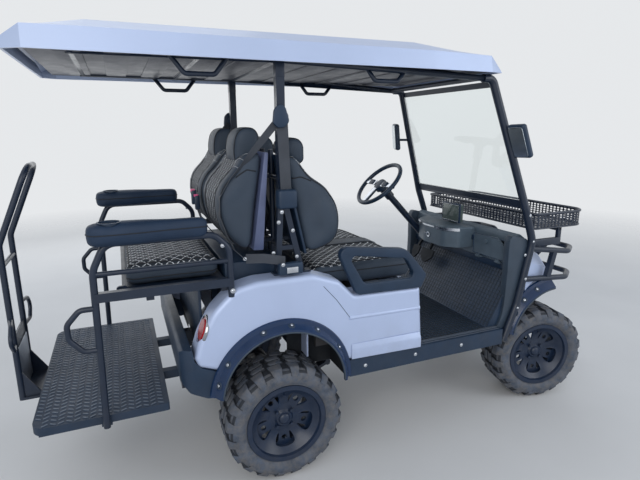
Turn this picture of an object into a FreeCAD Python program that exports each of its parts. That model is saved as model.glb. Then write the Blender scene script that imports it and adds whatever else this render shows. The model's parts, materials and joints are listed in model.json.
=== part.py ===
import FreeCAD, Part
import math
import os
import re
import types

from FreeCAD import Rotation, Vector

# A lifted four-seat golf cart. X points forward, Y to the left, Z up, the ground is z = 0.
# Every piece is drawn with the rear axle at x = 0 and is then placed by rear_axle_x, so that
# the middle of the whole cart stands over the origin.

# alias, millimetres or degrees, what it is
SIZES = [
    ("rear_axle_x", -422.2, "rear axle, from the middle of the cart"),
    ("wheelbase", 1664, "rear axle to front axle"),
    ("tyre_radius", 280, "tyre over its lugs"),
    ("tyre_width", 240, "tyre across its sidewalls"),
    ("lug_depth", 11, "depth of the tread between lugs"),
    ("rim_radius", 178, "bead seat of the rim"),
    ("rim_lip", 13, "height of the rim's lips"),
    ("rim_wall", 26, "bead seat down to the barrel's inside"),
    ("rim_width", 216, "rim across its lips"),
    ("hub_offset", 20, "wheel middle out to its mounting face"),
    ("disc_thickness", 14, "wheel disc"),
    ("hub_radius", 48, "wheel hub"),
    ("rear_wheel_y", 464, "middle of the rear tyres"),
    ("front_wheel_y", 397, "middle of the front tyres, straight ahead"),
    ("kingpin_y", 326, "kingpins from the middle"),
    ("steer_rest", -12.4, "steering angle as parked, right turn negative"),
    ("steer_arm", 100, "kingpin to tie rod"),
    ("running_gap", 0.3, "gap at faces that turn on each other"),
    ("pin_gap", 1.5, "clearance at the tie rod's open end"),
    ("kingpin_radius", 18, "knuckle's barrel"),
    ("kingpin_height", 110, "knuckle's barrel"),
    ("beam_size", 44, "front axle beam, square"),
    ("axle_radius", 30, "rear axle tube"),
    ("drum_radius", 84, "rear brake drums"),
    ("drum_width", 46, "rear brake drums"),
    ("rail_width", 50, "main rails of the frame"),
    ("rail_height", 66, "main rails of the frame"),
    ("rail_y", 262, "main rails from the middle"),
    ("rail_bottom", 408, "underside of the main rails"),
    ("front_rail_y", 104, "narrow rails between the front wheels"),
    ("floor_top", 518, "floor plate"),
    ("floor_thickness", 16, "floor plate"),
    ("body_half_width", 538, "side panels from the middle"),
    ("panel", 8, "moulded body panels"),
    ("pod_depth", 118, "rear quarters, inner to outer face"),
    ("pod_inner_y", "=body_half_width - pod_depth", "inner face of the rear quarters"),
    ("panel_front_x", 738, "front edge of the side panels"),
    ("panel_top", 840, "top of the side panels below the front seat"),
    ("shoulder_top", 972, "top of the rear quarters"),
    ("deck_top", 806, "deck between the rear quarters"),
    ("seat_wall_x", 164, "rear wall of the battery box"),
    ("rear_arch_z", 444, "middle of the rear wheel openings"),
    ("rear_arch_radius", 326, "rear wheel openings in the body"),
    ("rear_lip_radius", 288, "lower edge of the rear flares"),
    ("front_arch_z", 403, "middle of the front wheel openings"),
    ("front_arch_radius", 345, "front wheel openings in the body"),
    ("front_lip_radius", 298, "lower edge of the front flares"),
    ("flare_reach", 46, "flares out from the body"),
    ("front_flare_y", "=body_half_width - 51", "root of the front flares from the middle"),
    ("flare_wall", 9, "flares"),
    ("rocker_bottom", 430, "underside of the side sills"),
    ("rocker_width", 50, "side sills"),
    ("rocker_rear_x", 329, "rear end of the side sills"),
    ("rocker_front_x", "=wheelbase - 381", "front end of the side sills"),
    ("cushion_top", 968, "front seat"),
    ("cushion_thickness", 120, "front seat"),
    ("cushion_front_x", 768, "front edge of the front seat"),
    ("cushion_rear_x", 178, "rear edge of the front seat"),
    ("seat_half_width", "=body_half_width - 98", "front seat from the middle"),
    ("seat_rear_half_width", "=pod_inner_y - 9", "front seat between the rear quarters"),
    ("lamp_radius", 58, "tail lamps"),
    ("back_half_gap", 12, "middle gap between two seat backs, half of it"),
    ("back_width", "=pod_inner_y + 44 - back_half_gap", "one seat back"),
    ("headrest_width", 214, "one headrest"),
    ("strut_x", 36, "rear roof struts"),
    ("strut_y", "=pod_inner_y + 26", "rear roof struts from the middle"),
    ("strut_size", 36, "rear roof struts, square"),
    ("rear_pivot_x", -651, "flip pivot of the rear seat"),
    ("rear_pivot_z", 987, "flip pivot of the rear seat"),
    ("rear_cushion_front_x", -232, "end of the rear seat nearest the backs"),
    ("rear_cushion_length", 417, "rear seat along the cart"),
    ("rear_cushion_half_width", "=body_half_width - 98", "rear seat from the middle"),
    ("rear_cushion_thickness", 100, "rear seat"),
    ("pan_thickness", 8, "steel deck under the rear seat"),
    ("armrest_y", "=body_half_width - 10", "armrest frames from the middle"),
    ("armrest_tube", 27, "armrest frames"),
    ("armrest_rail", 36, "square rails under the rear seat"),
    ("armrest_thickness", 68, "armrest pads"),
    ("armrest_top", 1275, "armrest pads"),
    ("cup_radius", 39, "cup holders"),
    ("cup_depth", 46, "cup holders"),
    ("footplate_top", 480, "rear footplate"),
    ("footplate_thickness", 6, "rear footplate"),
    ("footplate_skirt", 28, "footplate's turned-down edge"),
    ("footplate_rear_x", -1022, "rear edge of the footplate"),
    ("footplate_front_x", -505, "front edge of the footplate"),
    ("footplate_half_width", "=body_half_width - 24", "rear footplate from the middle"),
    ("arm_size", 40, "footplate arms, square"),
    ("arm_y", 192, "footplate arms from the middle"),
    ("rack_x", -1110, "bag rack's uprights"),
    ("rack_y", 125, "bag rack's uprights from the middle"),
    ("rack_tube", 26, "bag rack"),
    ("rack_top", 1461, "bag rack"),
    ("roof_eave", "=roof_ridge - 180", "lower edge of the roof"),
    ("roof_crease", "=roof_ridge - 99", "upper crease of the roof's sides"),
    ("roof_ridge", 2054, "top of the roof"),
    ("roof_rear_x", -946, "rear edge of the roof"),
    ("roof_front_x", "=wheelbase - 502", "front edge of the roof"),
    ("roof_half_width", "=body_half_width", "roof from the middle"),
    ("roof_wall", 10, "roof panel"),
    ("roof_rail_z", "=roof_ridge - 206", "roof frame's rails"),
    ("roof_tube", 30, "roof frame"),
    ("pillar_tube", 42, "windscreen pillars"),
    ("pillar_top_y", "=strut_y - 16", "windscreen pillars at the roof"),
    ("pillar_top_x", "=wheelbase - 486", "windscreen pillars at the roof, from the rear axle"),
    ("pillar_bend_x", "=wheelbase - 263", "windscreen pillars at the foot of the glass, from the rear axle"),
    ("pillar_bend_z", 1177, "foot of the glass"),
    ("pillar_low_y", "=body_half_width - 27", "windscreen pillars below the glass"),
    ("glass_thickness", 6, "windscreen"),
    ("guard_tube", 32, "front guard"),
    ("guard_front", 240, "front guard ahead of the front axle"),
    ("guard_half_width", "=pillar_low_y - 13", "front guard from the middle"),
    ("basket_top", 1150, "rim of the front basket"),
    ("basket_depth", 94, "front basket"),
    ("basket_half_width", "=pillar_low_y - 16", "front basket from the middle"),
    ("basket_rear", -176, "rear wall of the basket from the front axle"),
    ("basket_front", 226, "front wall of the basket from the front axle"),
    ("basket_wall", 5, "basket sheet"),
    ("dash_half_width", "=pillar_low_y - 41", "dashboard from the middle"),
    ("lid_hinge_z", 862, "hinge of the glove compartment's lid"),
    ("lid_pin", 4, "hinge pins of the lid, radius"),
    ("wheel_y", 269, "steering wheel from the middle"),
    ("wheel_ring", 165, "steering wheel's rim"),
    ("wheel_grip", 13, "steering wheel's rim, half its thickness"),
    ("column_angle", 46, "steering column above level"),
    ("column_radius", 21, "steering column"),
]

doc = FreeCAD.newDocument("golf_cart")
sheet = doc.addObject("Spreadsheet::Sheet", "Sizes")
for row, (alias, value, note) in enumerate(SIZES, start=1):
    sheet.set(f"A{row}", alias)
    sheet.set(f"B{row}", str(value))
    sheet.setAlias(f"B{row}", alias)
    sheet.set(f"C{row}", note)
doc.recompute()
d = types.SimpleNamespace(**{alias: float(getattr(sheet, alias)) for alias, _, _ in SIZES})

NODES = []
UP = Vector(0, 0, 1)
LEFT = Vector(0, 1, 0)
FORWARD = Vector(1, 0, 0)
ORIGIN = Vector(0, 0, 0)


def bound(text):
    """Turn the aliases in an expression into cells of the sheet."""
    return re.sub(r"[a-z]\w*", lambda word: f"Sizes.{word.group()}", str(text))


def keep(piece, label):
    """Make a finished object a node: name it and place it by the rear axle."""
    piece.Label = label
    piece.setExpression("Placement.Base.x", bound("rear_axle_x"))
    NODES.append(piece)
    return piece


def keep_shape(label, *solids):
    """Make a node from shapes that Part's functions gave."""
    feature = doc.addObject("Part::Feature", label)
    feature.Shape = Part.makeCompound(list(solids))
    return keep(feature, label)


def box(name, corner, extent):
    """A box whose corner and extent are expressions in the sheet's aliases."""
    block = doc.addObject("Part::Box", name)
    for axis, text in zip("xyz", corner):
        block.setExpression(f"Placement.Base.{axis}", bound(text))
    for side, text in zip(("Length", "Width", "Height"), extent):
        block.setExpression(side, bound(text))
    return block


def rod(name, start, axis, radius, length):
    """A cylinder from start along one axis, all in expressions."""
    cylinder = doc.addObject("Part::Cylinder", name)
    turns = {"x": Rotation(LEFT, 90), "y": Rotation(FORWARD, -90), "z": Rotation()}
    cylinder.Placement.Rotation = turns[axis]
    for along, text in zip("xyz", start):
        cylinder.setExpression(f"Placement.Base.{along}", bound(text))
    cylinder.setExpression("Radius", bound(radius))
    cylinder.setExpression("Height", bound(length))
    return cylinder


def fuse(name, parts):
    joined = doc.addObject("Part::MultiFuse", name)
    joined.Shapes = parts
    joined.Refine = True
    return joined


def cut(name, base, tool):
    rest = doc.addObject("Part::Cut", name)
    rest.Base = base
    rest.Tool = tool
    return rest


def mirrored(shape):
    """The same shape on the other side of the cart."""
    return shape.mirror(ORIGIN, LEFT)


def both_sides(shape):
    return shape, mirrored(shape)


def corner_wire(points, radii, closed=False):
    """Straight runs through points, each corner rounded by its radius where that is not 0."""
    count = len(points)
    points = [Vector(*p) for p in points]
    if not hasattr(radii, "__len__"):
        radii = [radii] * count
    first = [None] * count
    last = [None] * count
    arcs = [None] * count
    for i, point in enumerate(points):
        first[i] = last[i] = point
        if (not closed and i in (0, count - 1)) or radii[i] == 0:
            continue
        back = (points[i - 1] - point).normalize()
        ahead = (points[(i + 1) % count] - point).normalize()
        half = back.getAngle(ahead) / 2
        if abs(half - math.pi / 2) < 1e-6:
            continue
        reach = radii[i] / math.tan(half)
        middle = point + (back + ahead).normalize() * (radii[i] / math.sin(half) - radii[i])
        first[i] = point + back * reach
        last[i] = point + ahead * reach
        arcs[i] = Part.Arc(first[i], middle, last[i]).toShape()
    edges = []
    for i in range(count):
        if arcs[i] is not None:
            edges.append(arcs[i])
        following = i + 1
        if following == count and not closed:
            break
        following %= count
        if (last[i] - first[following]).Length > 1e-6:
            edges.append(Part.LineSegment(last[i], first[following]).toShape())
    return Part.Wire(edges)


def outline(points, radii=0, y=0):
    """A closed outline of (x, z) points in the side view, at one y."""
    return corner_wire([(x, y, z) for x, z in points], radii, closed=True)


def side_prism(points, low_y, high_y, radii=0):
    """A side-view outline, from low_y to high_y."""
    return Part.Face(outline(points, radii, low_y)).extrude(LEFT * (high_y - low_y))


def plan_prism(points, low_z, high_z, radii=0):
    """A plan-view outline of (x, y) points, from low_z to high_z."""
    wire = corner_wire([(x, y, low_z) for x, y in points], radii, closed=True)
    return Part.Face(wire).extrude(UP * (high_z - low_z))


def front_prism(points, low_x, high_x, radii=0):
    """A front-view outline of (y, z) points, from low_x to high_x."""
    wire = corner_wire([(low_x, y, z) for y, z in points], radii, closed=True)
    return Part.Face(wire).extrude(FORWARD * (high_x - low_x))


def tube(points, diameter, bend, closed=False):
    """A round bar along straight runs with bent corners."""
    path = corner_wire(points, bend, closed)
    edge = path.OrderedEdges[0]
    start = edge.valueAt(edge.FirstParameter)
    ahead = edge.tangentAt(edge.FirstParameter)
    if edge.Orientation == "Reversed":
        start, ahead = edge.valueAt(edge.LastParameter), edge.tangentAt(edge.LastParameter) * -1
    ring = Part.Wire(Part.makeCircle(diameter / 2, start, ahead))
    return path.makePipeShell([ring], True, False)


def bar(start, end, size_y, size_across):
    """A straight bar in the side view between two (x, y, z) points, flat in y."""
    start, end = Vector(*start), Vector(*end)
    ahead = (end - start).normalize()
    across = ahead.cross(LEFT).normalize() * (size_across / 2)
    over = LEFT * (size_y / 2)
    corners = [start + across + over, start + across - over,
               start - across - over, start - across + over]
    return Part.Face(Part.makePolygon(corners + corners[:1])).extrude(end - start)


def box_shape(x, y, z, length, width, height):
    """A box from its lowest corner."""
    return Part.makeBox(length, width, height, Vector(x, y, z))


def revolved(points, centre, axis, angle=360):
    """A closed polygon of 3-D points turned about an axis."""
    face = Part.Face(Part.makePolygon([Vector(*p) for p in points + points[:1]]))
    return face.revolve(centre, axis, angle)


def softened(shape, radius, chosen):
    """Round the edges that a test picks."""
    edges = [edge for edge in shape.Edges if chosen(edge)]
    return shape.makeFillet(radius, edges)


def joined(*shapes):
    return shapes[0].fuse(list(shapes[1:])).removeSplitter()


# Wheels. A wheel is drawn about the Y axis with its outer side at +Y.

# low y, high y, width of the notches, first angle, slant: the notches between the lugs
TREAD_ROWS = [
    (46, 130, 34, 0, 0),
    (3, 40, 17, 6, 24),
    (-40, -3, 17, 15, 24),
    (-130, -46, 34, 9, 0),
]
LUGS = 20


def tread_cuts():
    """The rings and the rows of notches that leave the lugs standing."""
    floor = d.tyre_radius - d.lug_depth
    cuts = []
    for y in (-43, 0, 43):
        cuts.append(revolved([(0, y - 3.5, floor), (0, y + 3.5, floor), (0, y + 3.5, floor + 40),
                              (0, y - 3.5, floor + 40)], ORIGIN, LEFT))
    for low_y, high_y, width, first, slant in TREAD_ROWS:
        notch = Part.makeBox(width, high_y - low_y, 60, Vector(-width / 2, low_y, floor))
        notch.rotate(Vector(0, (low_y + high_y) / 2, 0), UP, slant)
        for i in range(LUGS):
            turned = notch.copy()
            turned.rotate(ORIGIN, LEFT, first + 360 / LUGS * i)
            cuts.append(turned)
    return cuts


def tyre():
    """A tyre as one ring with its lugs; its bore is the rim's bead seat."""
    half = d.tyre_width / 2
    bead = d.rim_width / 2 - 9
    profile = [
        (0, -bead, d.rim_radius), (0, -bead, d.rim_radius + d.rim_lip + 2),
        (0, -half, d.rim_radius + 44), (0, -half + 6, d.tyre_radius - 26),
        (0, -half + 24, d.tyre_radius), (0, half - 24, d.tyre_radius),
        (0, half - 6, d.tyre_radius - 26), (0, half, d.rim_radius + 44),
        (0, bead, d.rim_radius + d.rim_lip + 2), (0, bead, d.rim_radius),
    ]
    return revolved(profile, ORIGIN, LEFT).cut(tread_cuts())


WINDOWS = 5


def rim():
    """A rim with a recessed disc, five windows and five round holes between them."""
    half = d.rim_width / 2
    bore = d.rim_radius - d.rim_wall
    face = d.hub_offset + d.disc_thickness
    lip = d.rim_radius + d.rim_lip
    profile = [
        (0, d.hub_offset, 0), (0, d.hub_offset, d.hub_radius), (0, face, d.hub_radius + 4),
        (0, face, bore), (0, -half, bore), (0, -half, lip), (0, -half + 7, lip),
        (0, -half + 9, d.rim_radius), (0, half - 9, d.rim_radius), (0, half - 7, lip),
        (0, half, lip), (0, half, lip - 22), (0, face + d.disc_thickness, bore - 4),
        (0, face + d.disc_thickness, d.hub_radius), (0, face + 26, d.hub_radius - 12),
        (0, face + 26, 0),
    ]
    shape = revolved(profile, ORIGIN, LEFT)
    inner, outer = d.hub_radius + 26, bore - 16
    window = corner_wire(
        [(-0.30 * inner, 0, inner), (0.30 * inner, 0, inner),
         (0.40 * outer, 0, 0.93 * outer), (-0.40 * outer, 0, 0.93 * outer)], 9, closed=True)
    hole = Part.makeCylinder(13, d.rim_width, Vector(0, 0, (inner + outer) / 2), LEFT)
    for i in range(WINDOWS):
        turn = 360 / WINDOWS * i
        opening = Part.Face(window).extrude(LEFT * d.rim_width)
        opening.rotate(ORIGIN, LEFT, turn)
        shape = shape.cut(opening)
        bored = hole.copy()
        bored.rotate(ORIGIN, LEFT, turn + 180 / WINDOWS)
        shape = shape.cut(bored)
    return shape


def wheel_place(shape, axle_x, side, wheel_y, steer=0.0):
    """Put a wheel on its side of an axle, turned about the kingpin when it steers."""
    placed = shape.copy()
    if side < 0:
        placed.rotate(ORIGIN, UP, 180)
    placed.translate(Vector(axle_x, side * wheel_y, d.tyre_radius))
    if steer:
        placed.rotate(Vector(axle_x, side * d.kingpin_y, 0), UP, steer)
    return placed


# where, axle, side, wheel middle, steering angle
WHEELS = [
    ("rear_left", 0, 1, d.rear_wheel_y, 0),
    ("rear_right", 0, -1, d.rear_wheel_y, 0),
    ("front_left", d.wheelbase, 1, d.front_wheel_y, d.steer_rest),
    ("front_right", d.wheelbase, -1, d.front_wheel_y, d.steer_rest),
]
tyre_shape = tyre()
rim_shape = rim()
for where, axle_x, side, wheel_y, steer in WHEELS:
    keep_shape(f"tyre_{where}", wheel_place(tyre_shape, axle_x, side, wheel_y, steer))
    keep_shape(f"rim_{where}", wheel_place(rim_shape, axle_x, side, wheel_y, steer))


# Running gear.

def rear_axle():
    """Axle tube with flanges for the wheels, brake drums and the gear housing."""
    end = d.rear_wheel_y + d.hub_offset - d.running_gap
    middle = Vector(0, 0, d.tyre_radius)
    parts = [Part.makeCylinder(d.axle_radius, 2 * end, middle - LEFT * end, LEFT)]
    for side in (1, -1):
        parts.append(Part.makeCylinder(d.hub_radius - 4, 12, middle + LEFT * side * end,
                                       LEFT * -side))
        drum_y = d.rear_wheel_y - d.drum_width
        parts.append(Part.makeCylinder(d.drum_radius, d.drum_width,
                                       middle + LEFT * side * drum_y, LEFT * side))
    housing = Part.makeCylinder(96, 92, middle + Vector(0, 34, 0), LEFT)
    return joined(*parts, softened(housing, 18, lambda edge: True))


keep_shape("rear_axle", rear_axle())

motor = fuse("motor_body", [
    rod("motor_case", ("0", "-202", "tyre_radius"), "y", "86", "236 - running_gap"),
    rod("motor_cap", ("0", "-226", "tyre_radius"), "y", "60", "40"),
])
motor_bore = rod("motor_bore", ("0", "-300", "tyre_radius"), "y", "axle_radius + running_gap", "400")
keep(cut("motor", motor, motor_bore), "motor_block")


def knuckle(side):
    """Kingpin barrel, stub axle with its flange, and the arm for the tie rod."""
    pin = Vector(d.wheelbase, side * d.kingpin_y, d.tyre_radius)
    end = d.front_wheel_y + d.hub_offset - d.running_gap - d.kingpin_y
    half = d.kingpin_height / 2
    barrel = Part.makeCylinder(d.kingpin_radius, d.kingpin_height, pin - UP * half)
    bolt = Part.makeCylinder(9, d.kingpin_height + 34, pin - UP * (half + 17))
    stub = Part.makeCylinder(15, end, pin, LEFT * side)
    flange = Part.makeCylinder(d.hub_radius - 4, 9, pin + LEFT * side * (end - 9), LEFT * side)
    low = pin - UP * 34
    arm = Part.makeBox(d.steer_arm, 18, 14, low - Vector(d.steer_arm, 9, 7))
    eye = Part.makeCylinder(14, 14, low - Vector(d.steer_arm, 0, 7))
    stud = Part.makeCylinder(6, 34, low - Vector(d.steer_arm, 0, 37))
    shape = joined(barrel, bolt, stub, flange, arm, eye, stud)
    shape.rotate(pin, UP, d.steer_rest)
    return shape


keep_shape("knuckle_left", knuckle(1))
keep_shape("knuckle_right", knuckle(-1))


def tie_rod():
    """Rod between the knuckles' arms, with an eye around each stud."""
    turn = math.radians(d.steer_rest)
    x = d.wheelbase - d.steer_arm * math.cos(turn)
    shift = -d.steer_arm * math.sin(turn)
    z = d.tyre_radius - 34 - 26
    ends = [Vector(x, shift + side * d.kingpin_y, z) for side in (1, -1)]
    shape = Part.makeCylinder(9, 2 * d.kingpin_y, ends[1], LEFT)
    for end in ends:
        shape = shape.fuse(Part.makeCylinder(15, 16, end - UP * 8))
    for end, gap in zip(ends, (d.running_gap, d.pin_gap)):
        shape = shape.cut(Part.makeCylinder(6 + gap, 40, end - UP * 20))
    return shape.removeSplitter()


keep_shape("tie_rod", tie_rod())


def front_axle():
    """Beam with a fork around each kingpin."""
    size = d.beam_size
    reach = d.kingpin_y - 40
    beam = Part.makeBox(size, 2 * reach, size,
                        Vector(d.wheelbase - size / 2, -reach, d.tyre_radius - size / 2))
    parts = [beam]
    half = d.kingpin_height / 2 + d.running_gap
    for side in (1, -1):
        for z in (d.tyre_radius + half, d.tyre_radius - half - 12):
            ear = Part.makeBox(40, 60, 12, Vector(d.wheelbase - 20, -30, z))
            ear.translate(Vector(0, side * (d.kingpin_y - 20), 0))
            parts.append(ear)
        web = Part.makeBox(40, 22, 2 * half + 24, Vector(
            d.wheelbase - 20, side * (d.kingpin_y - 39) - 11, d.tyre_radius - half - 12))
        parts.append(web)
    shape = joined(*parts)
    for side in (1, -1):
        bore = Part.makeCylinder(9 + d.running_gap, 400, Vector(d.wheelbase, side * d.kingpin_y, 80))
        shape = shape.cut(bore)
    return shape


keep_shape("front_axle", front_axle())

# Frame: two main rails, narrow rails between the front wheels and cross members.
rail_z = "rail_bottom"
frame_parts = []
for side in ("left", "right"):
    sign = "" if side == "left" else "-1 * "
    low_y = f"{sign}rail_y - rail_width / 2"
    frame_parts.append(box(f"rail_{side}", ("-430", low_y, rail_z),
                           ("wheelbase + 106", "rail_width", "rail_height")))
    narrow_y = f"{sign}front_rail_y - rail_width / 2"
    frame_parts.append(box(f"front_rail_{side}", ("wheelbase - 384", narrow_y, rail_z),
                           ("560", "rail_width", "rail_height")))
    frame_parts.append(box(f"floor_pad_{side}", ("panel_front_x - 10", low_y, "rail_bottom + rail_height"),
                           ("wheelbase - panel_front_x - 324", "rail_width",
                            "floor_top - floor_thickness - rail_bottom - rail_height")))
    low_y = "rail_y - rail_width / 2 - 36" if side == "left" else "rail_width / 2 - rail_y - 4"
    frame_parts.append(box(f"damper_lug_{side}", ("-168", low_y, "rail_bottom + rail_height - 12"),
                           ("36", "40", "12")))
    low_y = "front_rail_y - rail_width / 2" if side == "left" else "-1 * front_rail_y - rail_width / 2"
    frame_parts.append(box(f"tower_{side}", ("wheelbase + 40", low_y, "rail_bottom + rail_height"),
                           ("40", "rail_width", "66")))
    low_y = "front_rail_y - rail_width / 2" if side == "left" else "-1 * front_rail_y - 80"
    frame_parts.append(box(f"tower_top_{side}", ("wheelbase + 40", low_y, "rail_bottom + rail_height + 66"),
                           ("40", "rail_width / 2 + 80", "12")))
# name, rear face, half its length along Y
CROSS_MEMBERS = [
    ("cross_rear", "-430", "rail_y + rail_width / 2"),
    ("cross_springs", "190", "rail_y + rail_width / 2"),
    ("cross_seat", "panel_front_x - 50", "body_half_width - rocker_width"),
    ("cross_floor", "wheelbase - 384", "body_half_width - rocker_width"),
    ("cross_axle", "wheelbase - rail_width / 2", "front_rail_y + rail_width / 2"),
    ("cross_nose", "wheelbase + 126", "front_rail_y + rail_width / 2"),
]
for name, rear_x, half_y in CROSS_MEMBERS:
    frame_parts.append(box(name, (rear_x, f"-1 * ({half_y})", rail_z),
                           ("rail_width", f"2 * ({half_y})", "rail_height")))
frame_parts.append(box("spring_block", ("wheelbase - 30", "-50", "tyre_radius + beam_size / 2 + 18"),
                       ("60", "100", "rail_bottom - tyre_radius - beam_size / 2 - 17")))
keep(fuse("frame_body", frame_parts), "chassis_frame")


def leaf(length, drop, width, thickness, centre, along):
    """A curved leaf stack: a thin arc band, its ends drop above the middle."""
    half = length / 2
    radius = (half * half + drop * drop) / (2 * drop)
    top = Part.makeCylinder(radius, width, Vector(0, -width / 2, radius), LEFT)
    hollow = Part.makeCylinder(radius - thickness, width, Vector(0, -width / 2, radius), LEFT)
    window = Part.makeBox(length, width, drop + thickness, Vector(-half, -width / 2, 0))
    band = top.cut(hollow).common(window)
    if along == "y":
        band.rotate(ORIGIN, UP, 90)
    band.translate(centre)
    return band


def springs():
    """Leaf springs under the rear rails, one across the front beam, and four dampers."""
    solids = []
    base = d.tyre_radius + d.axle_radius
    for side in (1, -1):
        y = side * d.rail_y
        stack = leaf(680, d.rail_bottom - base - 16, 48, 16, Vector(0, y, base - 1), "x")
        seat = Part.makeBox(70, 60, 60, Vector(-35, y - 30, base - 58))
        seat = seat.cut(Part.makeCylinder(d.axle_radius, 80, Vector(0, y - 40, d.tyre_radius), LEFT))
        eyes = [Part.makeCylinder(16, 48, Vector(x, y - 24, d.rail_bottom - 16), LEFT)
                for x in (-326, 326)]
        lug = Part.makeBox(30, 40, 30, Vector(-50, side * (y * side - 42) - 20, d.tyre_radius + 4))
        foot = Vector(-38, side * 217, d.tyre_radius + 16)
        head = Vector(-154, side * 217, d.rail_bottom + d.rail_height - 4)
        solids.append(joined(stack, seat, *eyes, lug, damper(foot, head, 14)))
    solids.append(leaf(460, 30, 60, 18, Vector(
        d.wheelbase, 0, d.tyre_radius + d.beam_size / 2 + d.running_gap), "y"))
    for side in (1, -1):
        foot = Vector(d.wheelbase + 44, side * 208, d.tyre_radius + 26)
        head = Vector(d.wheelbase + 60, side * 160, d.rail_bottom + d.rail_height + 72)
        solids.append(damper(foot, head, 22))
    return solids


def damper(foot, head, radius):
    """A damper in one line: a body, a wider cover above it and the rod between them."""
    run = head - foot
    body = Part.makeCylinder(radius, run.Length * 0.55, foot, run)
    rod_part = Part.makeCylinder(radius * 0.4, run.Length, foot, run)
    cap = Part.makeCylinder(radius * 1.2, run.Length * 0.44, foot + run * 0.56, run)
    return joined(body, rod_part, cap)


keep_shape("suspension", *springs())

# Battery under the front seat: one plain block in its tray.
battery = box("battery_case", ("seat_wall_x + 60", "-370", "floor_top + 20"),
              ("panel_front_x - seat_wall_x - 140", "740",
               "cushion_top - cushion_thickness - 70 - floor_top"))
battery_tray = box("battery_tray", ("seat_wall_x + panel", "-1 * (rail_y + 68)", "rail_bottom + rail_height"),
                   ("panel_front_x - seat_wall_x - 3 * panel", "2 * (rail_y + 68)",
                    "floor_top + 20 - rail_bottom - rail_height"))
keep(fuse("battery_body", [battery, battery_tray]), "battery_block")


# Body.

def rear_quarter_outline():
    """Side view of a rear quarter and the panel below the front seat."""
    top = d.shoulder_top
    return [
        (d.rocker_rear_x, d.floor_top), (d.panel_front_x + 12, d.floor_top + 10),
        (d.panel_front_x - 12, d.panel_top), (358, d.panel_top + 8), (280, top - 46),
        (150, top), (-110, top - 2), (-212, top - 24), (-306, top - 113), (-364, top - 220),
        (-394, top - 308), (-378, top - 350), (-296, top - 382), (-296, top - 412),
    ]


def lamp_seat(radius, start, length):
    """A round block on the sloping rear face of the left quarter, along the face's normal."""
    normal = Vector(-0.94, 0, 0.34)
    centre = Vector(-338, d.body_half_width - d.lamp_radius - 2, 770)
    return Part.makeCylinder(radius, length, centre + normal * start, normal)


def rear_body():
    """Rear quarters with wheel openings, the deck between them and the battery box."""
    corners = rear_quarter_outline()
    radii = [0, 6, 14, 26, 40, 60, 160, 70, 160, 160, 24, 24, 0, 0]
    quarter = side_prism(corners, d.pod_inner_y, d.body_half_width, radii)
    quarter = softened(quarter, 24, lambda edge: all(
        vertex.Y > d.body_half_width - 1 and vertex.Z > d.panel_top - 170 and vertex.X < 300
        for vertex in edge.Vertexes))
    arch = Part.makeCylinder(d.rear_arch_radius, 400, Vector(0, 300, d.rear_arch_z), LEFT)
    low = Part.makeBox(2 * d.rear_arch_radius, 400, d.rear_arch_z,
                       Vector(-d.rear_arch_radius, 300, 0))
    quarter = quarter.cut(arch).cut(low).cut(lamp_seat(d.lamp_radius, -7, 40))
    pocket = side_prism([(d.rocker_rear_x + 60, d.floor_top + 30), (d.panel_front_x - 30, d.floor_top + 30),
                         (d.panel_front_x - 50, d.panel_top - 20), (390, d.panel_top - 20)],
                        d.pod_inner_y - 1, d.body_half_width - 14, 12)
    quarter = quarter.cut(pocket)
    inner = d.pod_inner_y
    kick = side_prism([(d.panel_front_x - 8, d.floor_top), (d.panel_front_x + 12, d.floor_top),
                       (d.panel_front_x - 12, d.panel_top), (d.panel_front_x - 32, d.panel_top)],
                      -inner, inner)
    back_wall = Part.makeBox(d.panel, 2 * inner, d.deck_top - d.floor_top,
                             Vector(d.seat_wall_x - d.panel, -inner, d.floor_top))
    deck = Part.makeBox(d.seat_wall_x + 300, 2 * inner, d.panel,
                        Vector(-300, -inner, d.deck_top - d.panel))
    return joined(*both_sides(quarter), kick, back_wall, deck)


keep_shape("rear_body", rear_body())


def flare(centre, body_radius, lip_radius, first, last):
    """An arch trim: a sloping band from the body edge down and out to its lip."""
    low, high = d.body_half_width + d.running_gap, d.body_half_width + d.flare_reach
    wall = d.flare_wall
    profile = [(body_radius + 16, low), (body_radius + 12, low + wall),
               (body_radius - 6, low + wall + 5), (lip_radius + 14, high - 3),
               (lip_radius, high), (lip_radius, high - wall - 6), (lip_radius + 8, high - wall - 9),
               (body_radius - 12, low)]
    points = [(centre.x + radius, y, centre.z) for radius, y in profile]
    band = revolved(points, centre, LEFT, -(last - first))
    band.rotate(centre, LEFT, -first)
    return band


rear_flare = flare(Vector(0, 0, d.rear_arch_z), d.rear_arch_radius, d.rear_lip_radius, 0, 174)
keep_shape("rear_flares", *both_sides(rear_flare))


def front_flare():
    """The front arch trim, stopped by the guard ahead of the wheel."""
    centre = Vector(d.wheelbase, 0, d.front_arch_z)
    band = flare(centre, d.front_arch_radius, d.front_lip_radius, 90, 168)
    band.translate(Vector(0, d.front_flare_y - d.body_half_width, 0))
    return band


keep_shape("front_flares", *both_sides(front_flare()))


def tail_lamp():
    """A round lamp: a bezel with a raised lens."""
    return joined(lamp_seat(d.lamp_radius, -7, 14), lamp_seat(d.lamp_radius - 14, 6, 8))


keep_shape("tail_lamps", *both_sides(tail_lamp()))


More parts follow.
